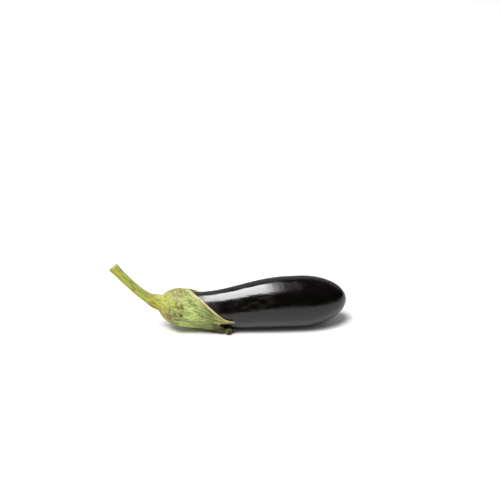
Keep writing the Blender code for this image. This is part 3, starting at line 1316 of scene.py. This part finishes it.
@dataclass(frozen=True)
class Calyx:
    """The calyx: a leathery cap of pointed lobes over the fruit's shoulder.

    Attributes:
        line: the fruit's centreline.
        stem: the stem's line, which the crown flows into.
        rim: its edge.
        crown_thickness: how thick it is on the end of the fruit.
        shoulder_thickness: how thick it is over the shoulder.
        rim_thickness: how thick it is at its edge.
        thinning_length: length over which it would thin right down.
        fillet_power: how tightly the crown meets the stem.
        lift: how far the long lobes' tips stand off the fruit.
        lift_from: reach above which a lobe's tip stands off.
        lift_length: how much longer a lobe is when it stands off fully.
        rib_height: height of each lobe's middle rib.
        lobe_width: half the width over which a lobe's folds are spread.
        lobe_spacing: how far apart the lobes' patterns are, so that they differ.
        lobe_streaks: fine streaks that run down each lobe.
        lobe_folds: folds that run down each lobe.
        crown_streaks: fine streaks over the crown.
        crown_folds: folds over the crown.
        lumps: broad lumps all over.
        pits: shallow pits all over.
        wrinkles: wrinkles round the shoulder.
        waves: how the edge stands off the fruit by turns.
        scallops: how the edge wanders.
        small_scallops: how the edge is frayed.
        mark_edges: how ragged the marks are, as a share of their size.
        vein_spread: how fast the veins draw apart from a lobe's tip, as a share of the distance from it.
        vein_rounding: distance from a lobe's middle within which its veins bend together.
        outer_rows: rows down the outside.
        row_crowding: how much those rows crowd towards the stem, 1 for not at all.
        edge_rows: rows round the edge.
        inner_rows: rows up the inside to the shoulder.
        shoulder_rows: rows over the shoulder inside.
        nub_width: radius of a thorn's foot round the calyx.
        nub_length: radius of a thorn's foot lengthwise.
        nubs: its small thorns.
        marks: its coloured marks.
        dry_bearing: bearing of the lobe whose end has dried.
        dry_from: how far past the shoulder it starts to look dry.
        dry_to: how far past the shoulder it is fully dry.
    """

    line: BodyLine
    stem: StemLine
    rim: Rim = Rim()
    crown_thickness: float = 0.0045
    shoulder_thickness: float = 0.00165
    rim_thickness: float = 0.0006
    thinning_length: float = 0.0860
    fillet_power: float = 2.8
    lift: float = 0.0010
    lift_from: float = 0.0200
    lift_length: float = 0.0200
    rib_height: float = 0.00045
    lobe_width: float = 0.0120
    lobe_spacing: float = 0.1
    lobe_streaks: Lumps = Lumps(0.00020, 0.0012, 12.0, 5.7)
    lobe_folds: Lumps = Lumps(0.00055, 0.0030, 5.0, 1.3)
    crown_streaks: Lumps = Lumps(0.00020, 0.0013, 6.0, 2.7)
    crown_folds: Lumps = Lumps(0.00055, 0.0036, 2.6, 6.3)
    lumps: Lumps = Lumps(0.00034, 0.0075, 1.2, 4.9)
    pits: Lumps = Lumps(0.00030, 0.0022, 1.2, 7.9)
    wrinkles: Lumps = Lumps(0.00022, 0.0034, 0.55, 2.2)
    waves: Lumps = Lumps(0.00050, 0.0055, 1.0, 4.4)
    scallops: Lumps = Lumps(0.00050, 0.0032, 1.0, 6.1)
    small_scallops: Lumps = Lumps(0.00025, 0.0011, 1.0, 9.4)
    mark_edges: Lumps = Lumps(0.28, 0.0016, 1.0, 3.3)
    vein_spread: float = 0.55
    vein_rounding: float = 0.0004
    outer_rows: int = 130
    row_crowding: float = 1.1
    edge_rows: int = 7
    inner_rows: int = 16
    shoulder_rows: int = 10
    nub_width: float = 0.0008
    nub_length: float = 0.0011
    nubs: tuple[Nub, ...] = (
        Nub(70.0, -0.0015, 0.0009),
        Nub(14.0, 0.0030, 0.0007),
        Nub(-38.0, -0.0030, 0.0008),
        Nub(118.0, 0.0040, 0.0008),
        Nub(-140.0, -0.0015, 0.0009),
        Nub(171.0, 0.0010, 0.0008),
    )
    marks: tuple[Mark, ...] = (
        Mark(MarkKind.SCAB, 80.0, 0.1415, 0.0050, 0.0034, True),
        Mark(MarkKind.SCAB, 76.0, 0.1458, 0.0030, 0.0016),
        Mark(MarkKind.SCAB, 2.0, 0.1462, 0.0042, 0.0022),
        Mark(MarkKind.SCAB, -22.0, 0.1440, 0.0040, 0.0030),
        Mark(MarkKind.SCAB, 140.0, 0.1430, 0.0055, 0.0030),
        Mark(MarkKind.SCAB, -120.0, 0.1420, 0.0050, 0.0028, True),
        # Lime patches: painted light shining through the thin calyx.
        Mark(MarkKind.LIME_LIT_THROUGH, 24.0, 0.1458, 0.0060, 0.0044),
        Mark(MarkKind.LIME_LIT_THROUGH, -160.0, 0.1450, 0.0060, 0.0044),
        Mark(MarkKind.SPOT, 23.3, 0.1358, 0.0009, 0.0009),
        Mark(MarkKind.SPOT, 37.2, 0.1266, 0.0010, 0.0008),
        Mark(MarkKind.SPOT, 44.9, 0.1304, 0.0008, 0.0008),
        Mark(MarkKind.SPOT, -3.3, 0.1399, 0.0008, 0.0008),
        Mark(MarkKind.SPOT, -2.0, 0.1357, 0.0012, 0.0016),
        Mark(MarkKind.SPOT, 6.6, 0.1192, 0.0008, 0.0012),
        Mark(MarkKind.SPOT, 9.0, 0.1215, 0.0006, 0.0014),
        Mark(MarkKind.SPOT, 155.0, 0.1320, 0.0009, 0.0010),
        Mark(MarkKind.SPOT, -155.0, 0.1280, 0.0009, 0.0010),
        Mark(MarkKind.SPOT, -100.0, 0.1330, 0.0010, 0.0009),
    )
    dry_bearing: float = math.radians(-42.0)
    dry_from: float = 0.0215
    dry_to: float = 0.0265

    @property
    def crown_run(self) -> float:
        """Run of the crown's tip, if the stem weren't there."""
        return self.line.length + self.crown_thickness

    def outer_radius(self, run: Array) -> Array:
        """Radius of its outside, with no ribs.

        Args:
            run: where the cross-sections are.

        Returns:
            The radius at each run.
        """
        shoulder = self.line.shoulder_run
        thinned = smoothstep(0.0, self.thinning_length, shoulder - run) ** 0.5
        thickness = self.shoulder_thickness + (self.rim_thickness - self.shoulder_thickness) * thinned
        crown = self.line.body_radius(run) + self.line.fit_gap + thickness
        past = np.maximum(run - shoulder, 0.0)
        crown = crown * ellipse(np.minimum(past / (self.crown_run - shoulder), 1.0))
        base = self.stem.radius_at(np.maximum(self.stem.joint_run - run, 0.0))
        power = self.fillet_power
        filleted = (crown**power + base**power) ** (1.0 / power)
        blend = smoothstep(shoulder, self.crown_run, run)
        return crown + (filleted - crown) * blend

    def _ring(self, bearing: Array) -> Array:
        """Points round the neck, for what changes along the edge."""
        return self.line.grain(np.zeros_like(bearing), bearing, np.full_like(bearing, self.line.neck_radius))

    def _veins(self, run: Array, columns: RimColumns, rim_run: Array) -> Array:
        """Points whose first axis is constant along a vein: the veins draw together at each lobe's tip.

        Args:
            run: the rows' runs.
            columns: the columns.
            rim_run: the edge's run in each column.

        Returns:
            The points, for patterns.
        """
        off = turn_between(columns.bearing, columns.tip)[None, :] * self.line.neck_radius
        below = np.maximum(run - rim_run, 0.0)
        spread = off / (np.abs(off) + self.vein_spread * below + self.vein_rounding)
        across = self.lobe_width * spread + self.lobe_spacing * columns.lobe[None, :]
        return np.stack(np.broadcast_arrays(across, 0.0 * run, run), axis=-1)

    def _ribs(self, columns: RimColumns, veins: Array) -> Array:
        """Height of each lobe's ribs, from 0 to 1.

        Args:
            columns: the columns.
            veins: the veins' points.

        Returns:
            The height.
        """
        spread = (veins[..., 0] - self.lobe_spacing * columns.lobe[None, :]) / self.lobe_width
        middle = bump_at(spread, 0.16)
        beside = 0.6 * bump_at(np.abs(spread) - 0.42, 0.09)
        return np.maximum(middle, beside)

    def _relief(self, run: Array, share: Array, columns: RimColumns, veins: Array) -> tuple[Array, Array]:
        """Ribs, streaks, wrinkles and thorns.

        Args:
            run: the rows' runs.
            share: how far down each column, from 0 at the joint to 1 at the edge.
            columns: the columns.
            veins: the veins' points.

        Returns:
            Height of the relief in metres, and of the ribs and folds alone from -1 to 1.
        """
        bearing = columns.bearing[None, :] + 0.0 * run
        grain = self.line.grain(run, bearing, np.full_like(run, self.line.neck_radius))
        past = self.line.shoulder_run - run
        on_lobes = smoothstep(-0.008, 0.007, past)
        ribs = self._ribs(columns, veins)
        streaks = self.lobe_streaks.level(veins) * on_lobes
        folds = self.lobe_folds.level(veins) * on_lobes
        round_streaks = self.crown_streaks.level(grain) * (1.0 - on_lobes)
        round_folds = self.crown_folds.level(grain) * (1.0 - on_lobes)
        pits = self.pits.height * np.minimum(self.pits.level(grain) + 0.15, 0.0)
        wrinkles = self.wrinkles.at(grain) * bump_at(past + 0.003, 0.007)
        ridged = self.stem.ridge_share * self.stem.base_radius * self.stem.ridge(bearing, np.zeros(1))
        near_joint = smoothstep(self.stem.joint_run - 0.013, self.stem.joint_run - 0.001, run)
        away = smoothstep(0.01, 0.12, share)
        height = self.rib_height * on_lobes * (ribs - 0.3)
        height += self.lobe_streaks.height * streaks + self.crown_streaks.height * round_streaks * away
        height += self.lobe_folds.height * folds + self.crown_folds.height * round_folds * away
        height += (self.lumps.at(grain) + pits + wrinkles) * away
        height += ridged * near_joint
        for nub in self.nubs:
            around_it = turn_between(bearing, math.radians(nub.bearing)) * self.line.neck_radius
            off_it = np.hypot(around_it / self.nub_width, (past - nub.run) / self.nub_length)
            height += nub.height * np.exp(-(off_it**1.5))
        seen = (ribs - 0.3) * on_lobes + 0.9 * (streaks + round_streaks) + 0.8 * (folds + round_folds)
        return height, np.clip(seen, -1.0, 1.0)

    def _standing_off(self, share: Array, columns: RimColumns) -> Array:
        """How far the lobes' ends and the edge stand off the fruit.

        Args:
            share: how far down each column, from 0 at the joint to 1 at the edge.
            columns: the columns.

        Returns:
            The distance in metres.
        """
        longest = smoothstep(0.0, self.lift_length, columns.reach - self.lift_from)[None, :]
        tips = self.lift * longest * smoothstep(0.6, 1.0, share)
        waves = 0.5 + 0.5 * self.waves.level(self._ring(columns.bearing))[None, :]
        return tips + self.waves.height * waves * smoothstep(0.80, 1.0, share)

    def _marks(self, run: Array, bearing: Array) -> dict[str, Array]:
        """How much of each kind of mark there is at each point, from 0 to 1.

        Args:
            run: the rows' runs.
            bearing: the columns' bearings.

        Returns:
            The marks' shares, by kind.
        """
        made = {kind.value: np.zeros(np.broadcast(run, bearing).shape) for kind in MarkKind}
        ragged = self.mark_edges.at(self.line.grain(run, bearing, np.full_like(run, self.line.neck_radius)))
        for mark in self.marks:
            around_it = turn_between(bearing, math.radians(mark.bearing)) * self.line.neck_radius
            away = np.hypot(around_it / mark.across, (run - mark.run) / mark.along) + ragged
            level = bump_at(away - 1.0, 0.30) if mark.hollow else 1.0 - smoothstep(0.55, 1.15, away)
            made[mark.kind.value] = np.maximum(made[mark.kind.value], level)
        return made

    def _outside(self, columns: RimColumns, rim_run: Array) -> tuple[Array, Array, Array]:
        """The rows down the outside, from the joint to the edge.

        Args:
            columns: the columns.
            rim_run: the edge's run in each column.

        Returns:
            The rows' runs and radii, and the height of their ribs and folds from -1 to 1.
        """
        joint = self.stem.joint_run
        share = (np.arange(self.outer_rows + 1) / self.outer_rows)[:, None] ** self.row_crowding
        run = joint + (rim_run - joint) * share
        share = share + 0.0 * rim_run
        relief, rib = self._relief(run, share, columns, self._veins(run, columns, rim_run))
        fade = 1.0 - 0.75 * smoothstep(0.965, 1.0, share)
        return run, self.outer_radius(run) + relief * fade + self._standing_off(share, columns), rib

    def _inside(self, columns: RimColumns, rim_run: Array, rim_radius: Array) -> tuple[Array, Array]:
        """The rows round the edge, up the inside and over the shoulder.

        Args:
            columns: the columns.
            rim_run: the edge's run in each column.
            rim_radius: the outside's radius at the edge.

        Returns:
            The rows' runs and radii.
        """
        joint, shoulder, gap = self.stem.joint_run, self.line.shoulder_run, self.line.fit_gap
        inside = self.line.fruit_radius(rim_run, gap) + self._standing_off(np.ones_like(rim_run), columns)
        middle, half = (rim_radius + inside) / 2.0, (rim_radius - inside) / 2.0
        swing = (np.arange(1, self.edge_rows + 1) * math.pi / self.edge_rows)[:, None]
        edge_run = rim_run - half * np.sin(swing)
        edge_radius = middle + half * np.cos(swing)

        up = (np.arange(1, self.inner_rows) / self.inner_rows)[:, None]
        lobe_run = rim_run + (shoulder - rim_run) * up
        lobe_share = (joint - lobe_run) / (joint - rim_run)
        lobe_radius = self.line.fruit_radius(lobe_run, gap) + self._standing_off(lobe_share, columns)

        swing = (np.arange(self.shoulder_rows) * 0.5 * math.pi / self.shoulder_rows)[:, None]
        over_run = shoulder + (self.line.shoulder_length + gap) * np.sin(swing) + 0.0 * rim_run
        over_radius = self.line.fruit_radius(over_run, gap)
        return (
            np.concatenate([edge_run, lobe_run, over_run]),
            np.concatenate([edge_radius, lobe_radius, over_radius]),
        )

    def build(self, finish: CalyxFinish) -> bpy.types.Object:
        """Makes the calyx and dresses it.

        Args:
            finish: what it is made to look like.

        Returns:
            The new piece.
        """
        columns = self.rim.columns()
        bearing = columns.bearing[None, :]
        ring = self._ring(columns.bearing)
        reach = columns.reach + self.scallops.at(ring) + self.small_scallops.at(ring)
        rim_run = self.line.shoulder_run - reach[None, :]
        outer_run, outer_radius, rib = self._outside(columns, rim_run)
        inner_run, inner_radius = self._inside(columns, rim_run, outer_radius[-1:])
        run = np.concatenate([outer_run, inner_run])
        radius = np.concatenate([outer_radius, inner_radius])
        points = self.line.around(run, bearing, radius)
        points[..., 2] = np.maximum(points[..., 2], CLEARANCE)

        slope = np.gradient(reach, columns.bearing) / self.line.neck_radius
        slant = 1.0 / np.sqrt(1.0 + np.square(slope))[None, :]
        past = self.line.shoulder_run - run
        from_dry = np.abs(turn_between(bearing, self.dry_bearing))
        joint = self.stem.joint_run
        values = {
            "edge": np.maximum(run - rim_run, 0.0) * slant / MM,
            "crown": (joint - run) / (joint - self.line.shoulder_run),
            "rib": np.concatenate([rib, np.zeros_like(inner_run)]),
            "dry": smoothstep(self.dry_from, self.dry_to, past) * smoothstep(0.44, 0.36, from_dry),
            **self._marks(run, bearing + 0.0 * run),
        }
        vectors = {"grain": self.line.grain(run, bearing, radius), "vein": self._veins(run, columns, rim_run)}
        hollow_run = self.line.length + self.line.fit_gap
        tips = self.line.around(np.array([joint, hollow_run]), np.zeros(2), np.zeros(2))
        piece = Surface(points, tips[0], tips[1], values, vectors).build("calyx_cap")
        piece.data.materials.append(finish.build())
        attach(piece, "root")
        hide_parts("calyx")
        return piece


@dataclass(frozen=True)
class Stem:
    """The stem, rooted a little way inside the calyx and cut across at its end.

    Attributes:
        path: its line.
        root_length: how far it goes into the calyx.
        root_share: its root's radius, as a share of its base's.
        root_fade: distance over which its root's colour fades.
        sides: points round it.
        rings: rings along it.
        cut_rings: rings over the cut end.
        cut_depth: how far the pith sits inside the cut's rim.
        cut_slant: how far the cut leans out of square at its rim.
        cut_bearing: which way it leans.
        cut_rounding: how much the cut's rim is rounded off.
        cut_rounding_length: length over which it is.
        streaks: fine streaks along it.
        knots: its broad lumps.
        cut_lumps: how rough the cut is.
    """

    path: StemLine
    root_length: float = 0.0015
    root_share: float = 0.97
    root_fade: float = 0.006
    sides: int = 96
    rings: int = 170
    cut_rings: int = 14
    cut_depth: float = 0.0005
    cut_slant: float = 0.0007
    cut_bearing: float = 1.1
    cut_rounding: float = 0.00035
    cut_rounding_length: float = 0.0006
    streaks: Lumps = Lumps(0.00018, 0.0011, 10.0, 7.7)
    knots: Lumps = Lumps(0.00026, 0.0045, 1.6, 2.9)
    cut_lumps: Lumps = Lumps(0.00022, 0.0010, 1.0, 5.0)

    def _side(self, bearing: Array, along: Array) -> tuple[Array, Array, Array]:
        """The stem's side.

        Args:
            bearing: angle round it.
            along: distance along it.

        Returns:
            Its radius, its straightened points, and the height of its ridges and streaks from -1 to 1.
        """
        radius = self.path.radius_at(along)[:, None] + 0.0 * bearing
        ridge = self.path.ridge(bearing, along[:, None])
        flat = (radius * np.cos(bearing), radius * np.sin(bearing), along[:, None])
        grain = np.stack(np.broadcast_arrays(*flat), axis=-1)
        away = smoothstep(0.0, 0.006, along)[:, None]
        radius = radius + self.path.ridge_share * radius * ridge
        radius = radius + (self.streaks.at(grain) + self.knots.at(grain)) * away
        end = self.path.length
        rounded = smoothstep(end, end - self.cut_rounding_length, along)[:, None]
        rib = np.clip(0.8 * ridge + 0.9 * self.streaks.level(grain), -1.0, 1.0)
        return radius - self.cut_rounding * (1.0 - rounded), grain, rib

    def build(self, finish: StemFinish) -> bpy.types.Object:
        """Makes the stem and dresses it.

        Args:
            finish: what it is made to look like.

        Returns:
            The new piece.
        """
        along = np.linspace(0.0, self.path.length, self.rings)
        bearing = (np.arange(self.sides) * FULL_TURN / self.sides)[None, :]
        centre, heading, across = self.path.path(along)
        radius, grain, rib = self._side(bearing, along)
        up = np.cross(heading, across)
        around_it = np.cos(bearing)[..., None] * across[:, None] + np.sin(bearing)[..., None] * up[:, None]
        points = centre[:, None] + around_it * radius[..., None]

        inward = (1.0 - np.arange(1, self.cut_rings) / self.cut_rings)[:, None]
        cut_radius = radius[-1:] * inward
        rough = self.cut_lumps.at(np.concatenate([grain[-1:] * i for i in inward.ravel()]))
        sunk = -self.cut_depth * smoothstep(1.0, 0.78, inward) + rough
        slant = self.cut_slant * np.cos(bearing + self.cut_bearing)
        cut_points = centre[-1] + around_it[-1:] * cut_radius[..., None]
        cut_points = cut_points + heading[-1] * (sunk + slant * inward)[..., None]
        points[-1] = points[-1] + heading[-1] * slant[0][:, None]

        root_tip = centre[0] - heading[0] * self.root_length
        root = centre[0] + (points[:1] - heading[0] * self.root_length - centre[0]) * self.root_share
        side = np.zeros((len(points) + 1, self.sides))
        bark = smoothstep(0.80, 0.96, inward) + 0.0 * bearing
        cut = np.concatenate([side, np.ones_like(cut_radius)])
        cut[len(points)] = 0.7
        at_cut = np.full_like(cut_radius, self.path.length)
        cut_grain = np.stack([cut_radius * np.cos(bearing), cut_radius * np.sin(bearing), at_cut], axis=-1)
        all_grain = np.concatenate([grain[:1], grain, cut_grain])
        surface = Surface(
            np.concatenate([root, points, cut_points]),
            root_tip,
            centre[-1] - heading[-1] * self.cut_depth,
            {
                "cut": cut,
                "cut_rim": np.concatenate([side, bark]),
                "rib": np.concatenate([rib[:1], rib, np.zeros_like(cut_radius)]),
                "root": np.exp(-all_grain[..., 2] / self.root_fade),
            },
            {"grain": all_grain},
        )
        piece = surface.build("stem_stalk")
        piece.data.materials.append(finish.build())
        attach(piece, "root")
        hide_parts("stem")
        return piece


@dataclass(frozen=True)
class Curl:
    """A dried ribbon that leaves a lobe's end and coils up.

    Attributes:
        name: the piece's name.
        root_run: run of its root.
        root_bearing: bearing of its root, in degrees.
        centre: middle of its coil.
        coil_radius: radius of the coil's outside.
        turns: how many turns it makes.
        width: its width at the root.
        yaw: how far the coil is turned about the upright, in degrees.
    """

    name: str
    root_run: float
    root_bearing: float
    centre: tuple[float, float, float]
    coil_radius: float
    turns: float
    width: float
    yaw: float


@dataclass(frozen=True)
class Curls:
    """The dried, curled ends that hang under the lobe nearest the table.

    Attributes:
        line: the fruit's centreline.
        thickness: how thick the ribbons are.
        standing_off: how far their roots are from the skin.
        entry: where on its coil a ribbon arrives, as an angle from level.
        lead_points: points along a ribbon before its coil.
        coil_points: points along its coil.
        sides: points round it.
        lead_share: how far a ribbon keeps its heading before it bends, as a share of its lead.
        tightening: how much the coil tightens.
        drift: how far the coil drifts sideways, as a share of the ribbon's width.
        end_share: share of a ribbon over which each end rounds off.
        narrowing: how much the ribbon narrows along its coil.
        fraying: how much its width varies.
        frays: how often it does, in radians over the ribbon.
        cupping: how much it is cupped across, as a share of its half width.
        curls: the ribbons.
    """

    line: BodyLine
    thickness: float = 0.00055
    standing_off: float = 0.0009
    entry: float = math.radians(140.0)
    lead_points: int = 22
    coil_points: int = 64
    sides: int = 12
    lead_share: float = 0.45
    tightening: float = 0.42
    drift: float = 0.35
    end_share: float = 0.05
    narrowing: float = 0.55
    fraying: float = 0.16
    frays: float = 41.0
    cupping: float = 0.30
    curls: tuple[Curl, ...] = (
        Curl("dried_curl_1", 0.1040, -33.0, (-0.0016, -0.0140, 0.0031), 0.0029, 1.20, 0.0036, 8.0),
        Curl("dried_curl_2", 0.1030, -45.0, (0.0030, -0.0105, 0.0016), 0.0015, 1.30, 0.0024, -20.0),
        Curl("dried_curl_3", 0.1085, -49.0, (-0.0068, -0.0126, 0.0032), 0.0013, 1.10, 0.0024, 25.0),
        Curl("dried_curl_4", 0.1115, -52.0, (-0.0096, -0.0118, 0.0034), 0.0011, 1.25, 0.0022, -15.0),
        Curl("dried_curl_5", 0.1145, -54.0, (-0.0124, -0.0112, 0.0036), 0.0011, 0.95, 0.0022, 12.0),
    )

    def _path(self, curl: Curl) -> tuple[Array, Array, Array]:
        """A ribbon's line.

        Args:
            curl: the ribbon.

        Returns:
            Its points, unit vectors across it, and how far along its coil each point is.
        """
        yaw = math.radians(curl.yaw)
        level = np.array([math.cos(yaw), math.sin(yaw), 0.0])
        up = np.array([0.0, 0.0, 1.0])
        axis = np.cross(up, level) * -1.0
        coiled = np.linspace(0.0, 1.0, self.coil_points)
        angle = self.entry - FULL_TURN * curl.turns * coiled
        radius = curl.coil_radius * (1.0 - self.tightening * coiled)
        wound = np.cos(angle)[:, None] * level + np.sin(angle)[:, None] * up
        drift = axis * (self.drift * curl.width * coiled)[:, None]
        coil = np.array(curl.centre) + wound * radius[:, None] + drift
        bearing = math.radians(curl.root_bearing)
        run = np.array([curl.root_run])
        root_radius = self.line.fruit_radius(run) + self.standing_off
        root = self.line.around(run, np.array([bearing]), root_radius)[0]
        entering = coil[1] - coil[0]
        entering /= np.linalg.norm(entering)
        lead = self.lead_share * np.linalg.norm(coil[0] - root)
        first, second = root + lead * np.array([1.0, 0.0, 0.0]), coil[0] - lead * entering
        t = np.linspace(0.0, 1.0, self.lead_points, endpoint=False)[:, None]
        left = 1.0 - t
        bend = 3.0 * first * t * left**2 + 3.0 * second * t**2 * left
        centre = np.concatenate([root * left**3 + bend + coil[0] * t**3, coil])
        at_root = np.array([0.0, math.sin(bearing), math.cos(bearing)])
        at_root = at_root if at_root @ axis > 0.0 else -at_root
        turned = np.concatenate([t, np.ones((self.coil_points, 1))])
        across = at_root * (1.0 - turned) + axis * turned
        return centre, across, np.concatenate([0.0 * t[:, 0], coiled])

    def _one(self, curl: Curl, material: bpy.types.Material) -> bpy.types.Object:
        """Makes one ribbon and dresses it.

        Args:
            curl: the ribbon.
            material: what it is dressed with.

        Returns:
            The new piece.
        """
        centre, across, coiled = self._path(curl)
        heading = np.gradient(centre, axis=0)
        heading /= np.linalg.norm(heading, axis=1)[:, None]
        across = across - heading * np.sum(across * heading, axis=1)[:, None]
        across /= np.linalg.norm(across, axis=1)[:, None]
        normal = np.cross(heading, across)
        share = np.linspace(0.0, 1.0, len(centre))
        angle = (np.arange(self.sides) * FULL_TURN / self.sides)[None, :]
        ends = np.sqrt(np.clip(np.minimum(share, 1.0 - share) / self.end_share, 0.02, 1.0))
        taper = (ends * (1.0 - self.narrowing * coiled))[:, None]
        frayed = 1.0 + self.fraying * np.sin(share * self.frays + curl.yaw)[:, None]
        half_width = 0.5 * curl.width * taper * frayed
        half_thick = 0.5 * self.thickness * np.sqrt(taper)
        cupped = self.cupping * half_width * np.square(np.cos(angle))
        wide = half_width * np.cos(angle)
        thick = half_thick * np.sin(angle) + cupped
        points = centre[:, None] + across[:, None] * wide[..., None] + normal[:, None] * thick[..., None]
        points[..., 2] = np.maximum(points[..., 2], CLEARANCE)
        grain = np.stack(np.broadcast_arrays(wide, thick, share[:, None] * 0.02 + curl.root_run), axis=-1)
        edge = smoothstep(0.70, 1.0, np.abs(np.cos(angle))) * smoothstep(0.25, 0.45, share)[:, None]
        surface = Surface(points, centre[0], centre[-1], {"edge": edge}, {"grain": grain})
        piece = surface.build(curl.name)
        piece.data.materials.append(material)
        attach(piece, "root")
        return piece

    def build(self, finish: CurlFinish) -> list[bpy.types.Object]:
        """Makes all the ribbons."""
        material = finish.build()
        return [self._one(curl, material) for curl in self.curls]


# ---------------------------------------------------------------------------------------------------------
# The studio
# ---------------------------------------------------------------------------------------------------------


class Reaches(Enum):
    """What a light does."""

    MATT_SIDES = (True, False)
    REFLECTIONS = (False, True)


@dataclass(frozen=True)
class Panel:
    """A soft light panel.

    Attributes:
        name: its name.
        place: where its middle is.
        faces: the point that it faces.
        width: its width.
        depth: its other side.
        brightness: its radiance.
        reaches: what it lights.
    """

    name: str
    place: tuple[float, float, float]
    faces: tuple[float, float, float]
    width: float
    depth: float
    brightness: float
    reaches: Reaches

    def faded(self, fade: "Fade") -> list["Panel"]:
        """Slices beside its +X side that fade its brightness out.

        Args:
            fade: how the brightness drops.

        Returns:
            The slices, nearest first.
        """
        slices = []
        slice_width = fade.width / fade.steps
        for step in range(fade.steps):
            left = 1.0 - (step + 0.5) / fade.steps
            offset = self.width / 2.0 + (step + 0.5) * slice_width
            y = self.place[1] * (1.0 - fade.shift * (1.0 - left))
            place = (self.place[0] + offset, y, self.place[2])
            below = (place[0], place[1], 0.0)
            depth = fade.depth + (self.depth - fade.depth) * left
            brightness = self.brightness * fade.start * left**fade.power
            name = f"{self.name}_end_{step}"
            slices.append(Panel(name, place, below, slice_width, depth, brightness, self.reaches))
        return slices

    def build(self) -> bpy.types.Object:
        """Hangs the panel.

        Returns:
            The light.
        """
        light = bpy.data.lights.new(self.name, "AREA")
        light.shape = "RECTANGLE"
        light.size, light.size_y = self.width, self.depth
        light.energy = self.brightness * math.pi * self.width * self.depth
        panel = bpy.data.objects.new(self.name, light)
        panel.location = self.place
        panel.rotation_euler = (Vector(self.place) - Vector(self.faces)).to_track_quat("Z", "Y").to_euler()
        panel.visible_diffuse, panel.visible_glossy = self.reaches.value
        panel.visible_camera = False
        bpy.context.scene.collection.objects.link(panel)
        return panel


@dataclass(frozen=True)
class Fade:
    """How a panel's brightness fades out beside it.

    Attributes:
        steps: how many slices it is made of.
        width: how wide they are together.
        depth: how deep the last one is.
        start: the first one's brightness, as a share of the panel's.
        power: how fast the brightness drops.
        shift: how far the slices move to the panel's nearer side, as a share of its place.
    """

    steps: int = 10
    width: float = 0.100
    depth: float = 0.150
    start: float = 0.42
    power: float = 2.2
    shift: float = 0.4


@dataclass(frozen=True)
class Studio:
    """White table, soft light and camera.

    Attributes:
        elevation: how far above the level the camera looks from.
        azimuth: how far round from -Y it stands.
        distance: how far it is from its target.
        shown_width: how wide a stretch it takes in at its target.
        sensor: the sensor's width, in millimetres.
        aim_right: how far right of the origin it aims.
        aim_up: how far above the origin it aims.
        table_size: the table's width.
        sky: brightness of the room.
        fade: how the first panel fades out.
        panels: the light panels.
    """

    elevation: float = math.radians(25.0)
    azimuth: float = math.radians(-5.0)
    distance: float = 1.2
    shown_width: float = 0.410
    sensor: float = 36.0
    aim_right: float = 0.0172
    aim_up: float = 0.0713
    table_size: float = 9.0
    sky: float = 0.27
    fade: Fade = Fade()
    panels: tuple[Panel, ...] = (
        Panel("strip", (-0.180, 0.060, 0.330), (-0.180, 0.060, 0.0), 0.350, 0.340, 20.8, Reaches.REFLECTIONS),
        Panel("back_wall", (0.0, 2.2, 0.95), (0.0, 0.0, 0.0), 6.0, 1.3, 0.43, Reaches.REFLECTIONS),
        Panel("softbox", (-0.75, -0.90, 2.50), (0.0, 0.1, 0.0), 1.5, 1.5, 19.5, Reaches.MATT_SIDES),
        Panel("back_fill", (0.0, 1.7, 1.0), (0.0, 1.1, 0.0), 2.0, 0.5, 0.6, Reaches.MATT_SIDES),
    )

    def _camera(self) -> None:
        """Sets up the camera."""
        data = bpy.data.cameras.new("camera")
        data.sensor_width = self.sensor
        data.lens = self.sensor * self.distance / self.shown_width
        camera = bpy.data.objects.new("camera", data)
        away = Vector(
            (
                math.sin(self.azimuth) * math.cos(self.elevation),
                -math.cos(self.azimuth) * math.cos(self.elevation),
                math.sin(self.elevation),
            )
        )
        turned = away.to_track_quat("Z", "Y")
        aim = turned @ Vector((self.aim_right, self.aim_up, 0.0))
        camera.location = aim + away * self.distance
        camera.rotation_euler = turned.to_euler()
        bpy.context.scene.collection.objects.link(camera)
        bpy.context.scene.camera = camera

    def _room(self) -> None:
        """Sets up the room's own light, which glossy skin doesn't mirror."""
        world = bpy.data.worlds.new("room")
        world.use_nodes = True
        background = world.node_tree.nodes["Background"]
        background.inputs["Color"].default_value = (1.0, 1.0, 1.0, 1.0)
        background.inputs["Strength"].default_value = self.sky
        bpy.context.scene.world = world
        world.cycles_visibility.glossy = False

    def build(self, finish: TableFinish) -> bpy.types.Object:
        """Makes the table, the lights, the room and the camera.

        Args:
            finish: the table's.

        Returns:
            The table.
        """
        half = self.table_size / 2.0
        corners = [(-half, -half, 0.0), (half, -half, 0.0), (half, half, 0.0), (-half, half, 0.0)]
        mesh = bpy.data.meshes.new("table")
        mesh.from_pydata(corners, [], [(0, 1, 2, 3)])
        table = bpy.data.objects.new("table", mesh)
        bpy.context.scene.collection.objects.link(table)
        table.data.materials.append(finish.build())
        for panel in (*self.panels, *self.panels[0].faded(self.fade)):
            panel.build()
        self._room()
        self._camera()
        scene = bpy.context.scene
        scene.view_settings.view_transform = "Standard"
        scene.view_settings.look = "None"
        return table


def main() -> None:
    """Builds the eggplant and the studio."""
    logging.basicConfig(level=logging.INFO, format="%(name)s: %(message)s")
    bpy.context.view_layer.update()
    low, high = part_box("fruit")
    line = BodyLine(tip_x=high.x, belly_radius=(high.y - low.y) / 2.0)
    stem_line = StemLine(line)
    pieces = [Fruit(line).build(SkinFinish())]
    pieces.append(Calyx(line, stem_line).build(CalyxFinish()))
    pieces.append(Stem(stem_line).build(StemFinish()))
    pieces.extend(Curls(line).build(CurlFinish()))
    for piece in pieces:
        LOG.info("%s has %d faces", piece.name, len(piece.data.polygons))
    Studio().build(TableFinish())
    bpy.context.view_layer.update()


if __name__ == "__main__":
    main()
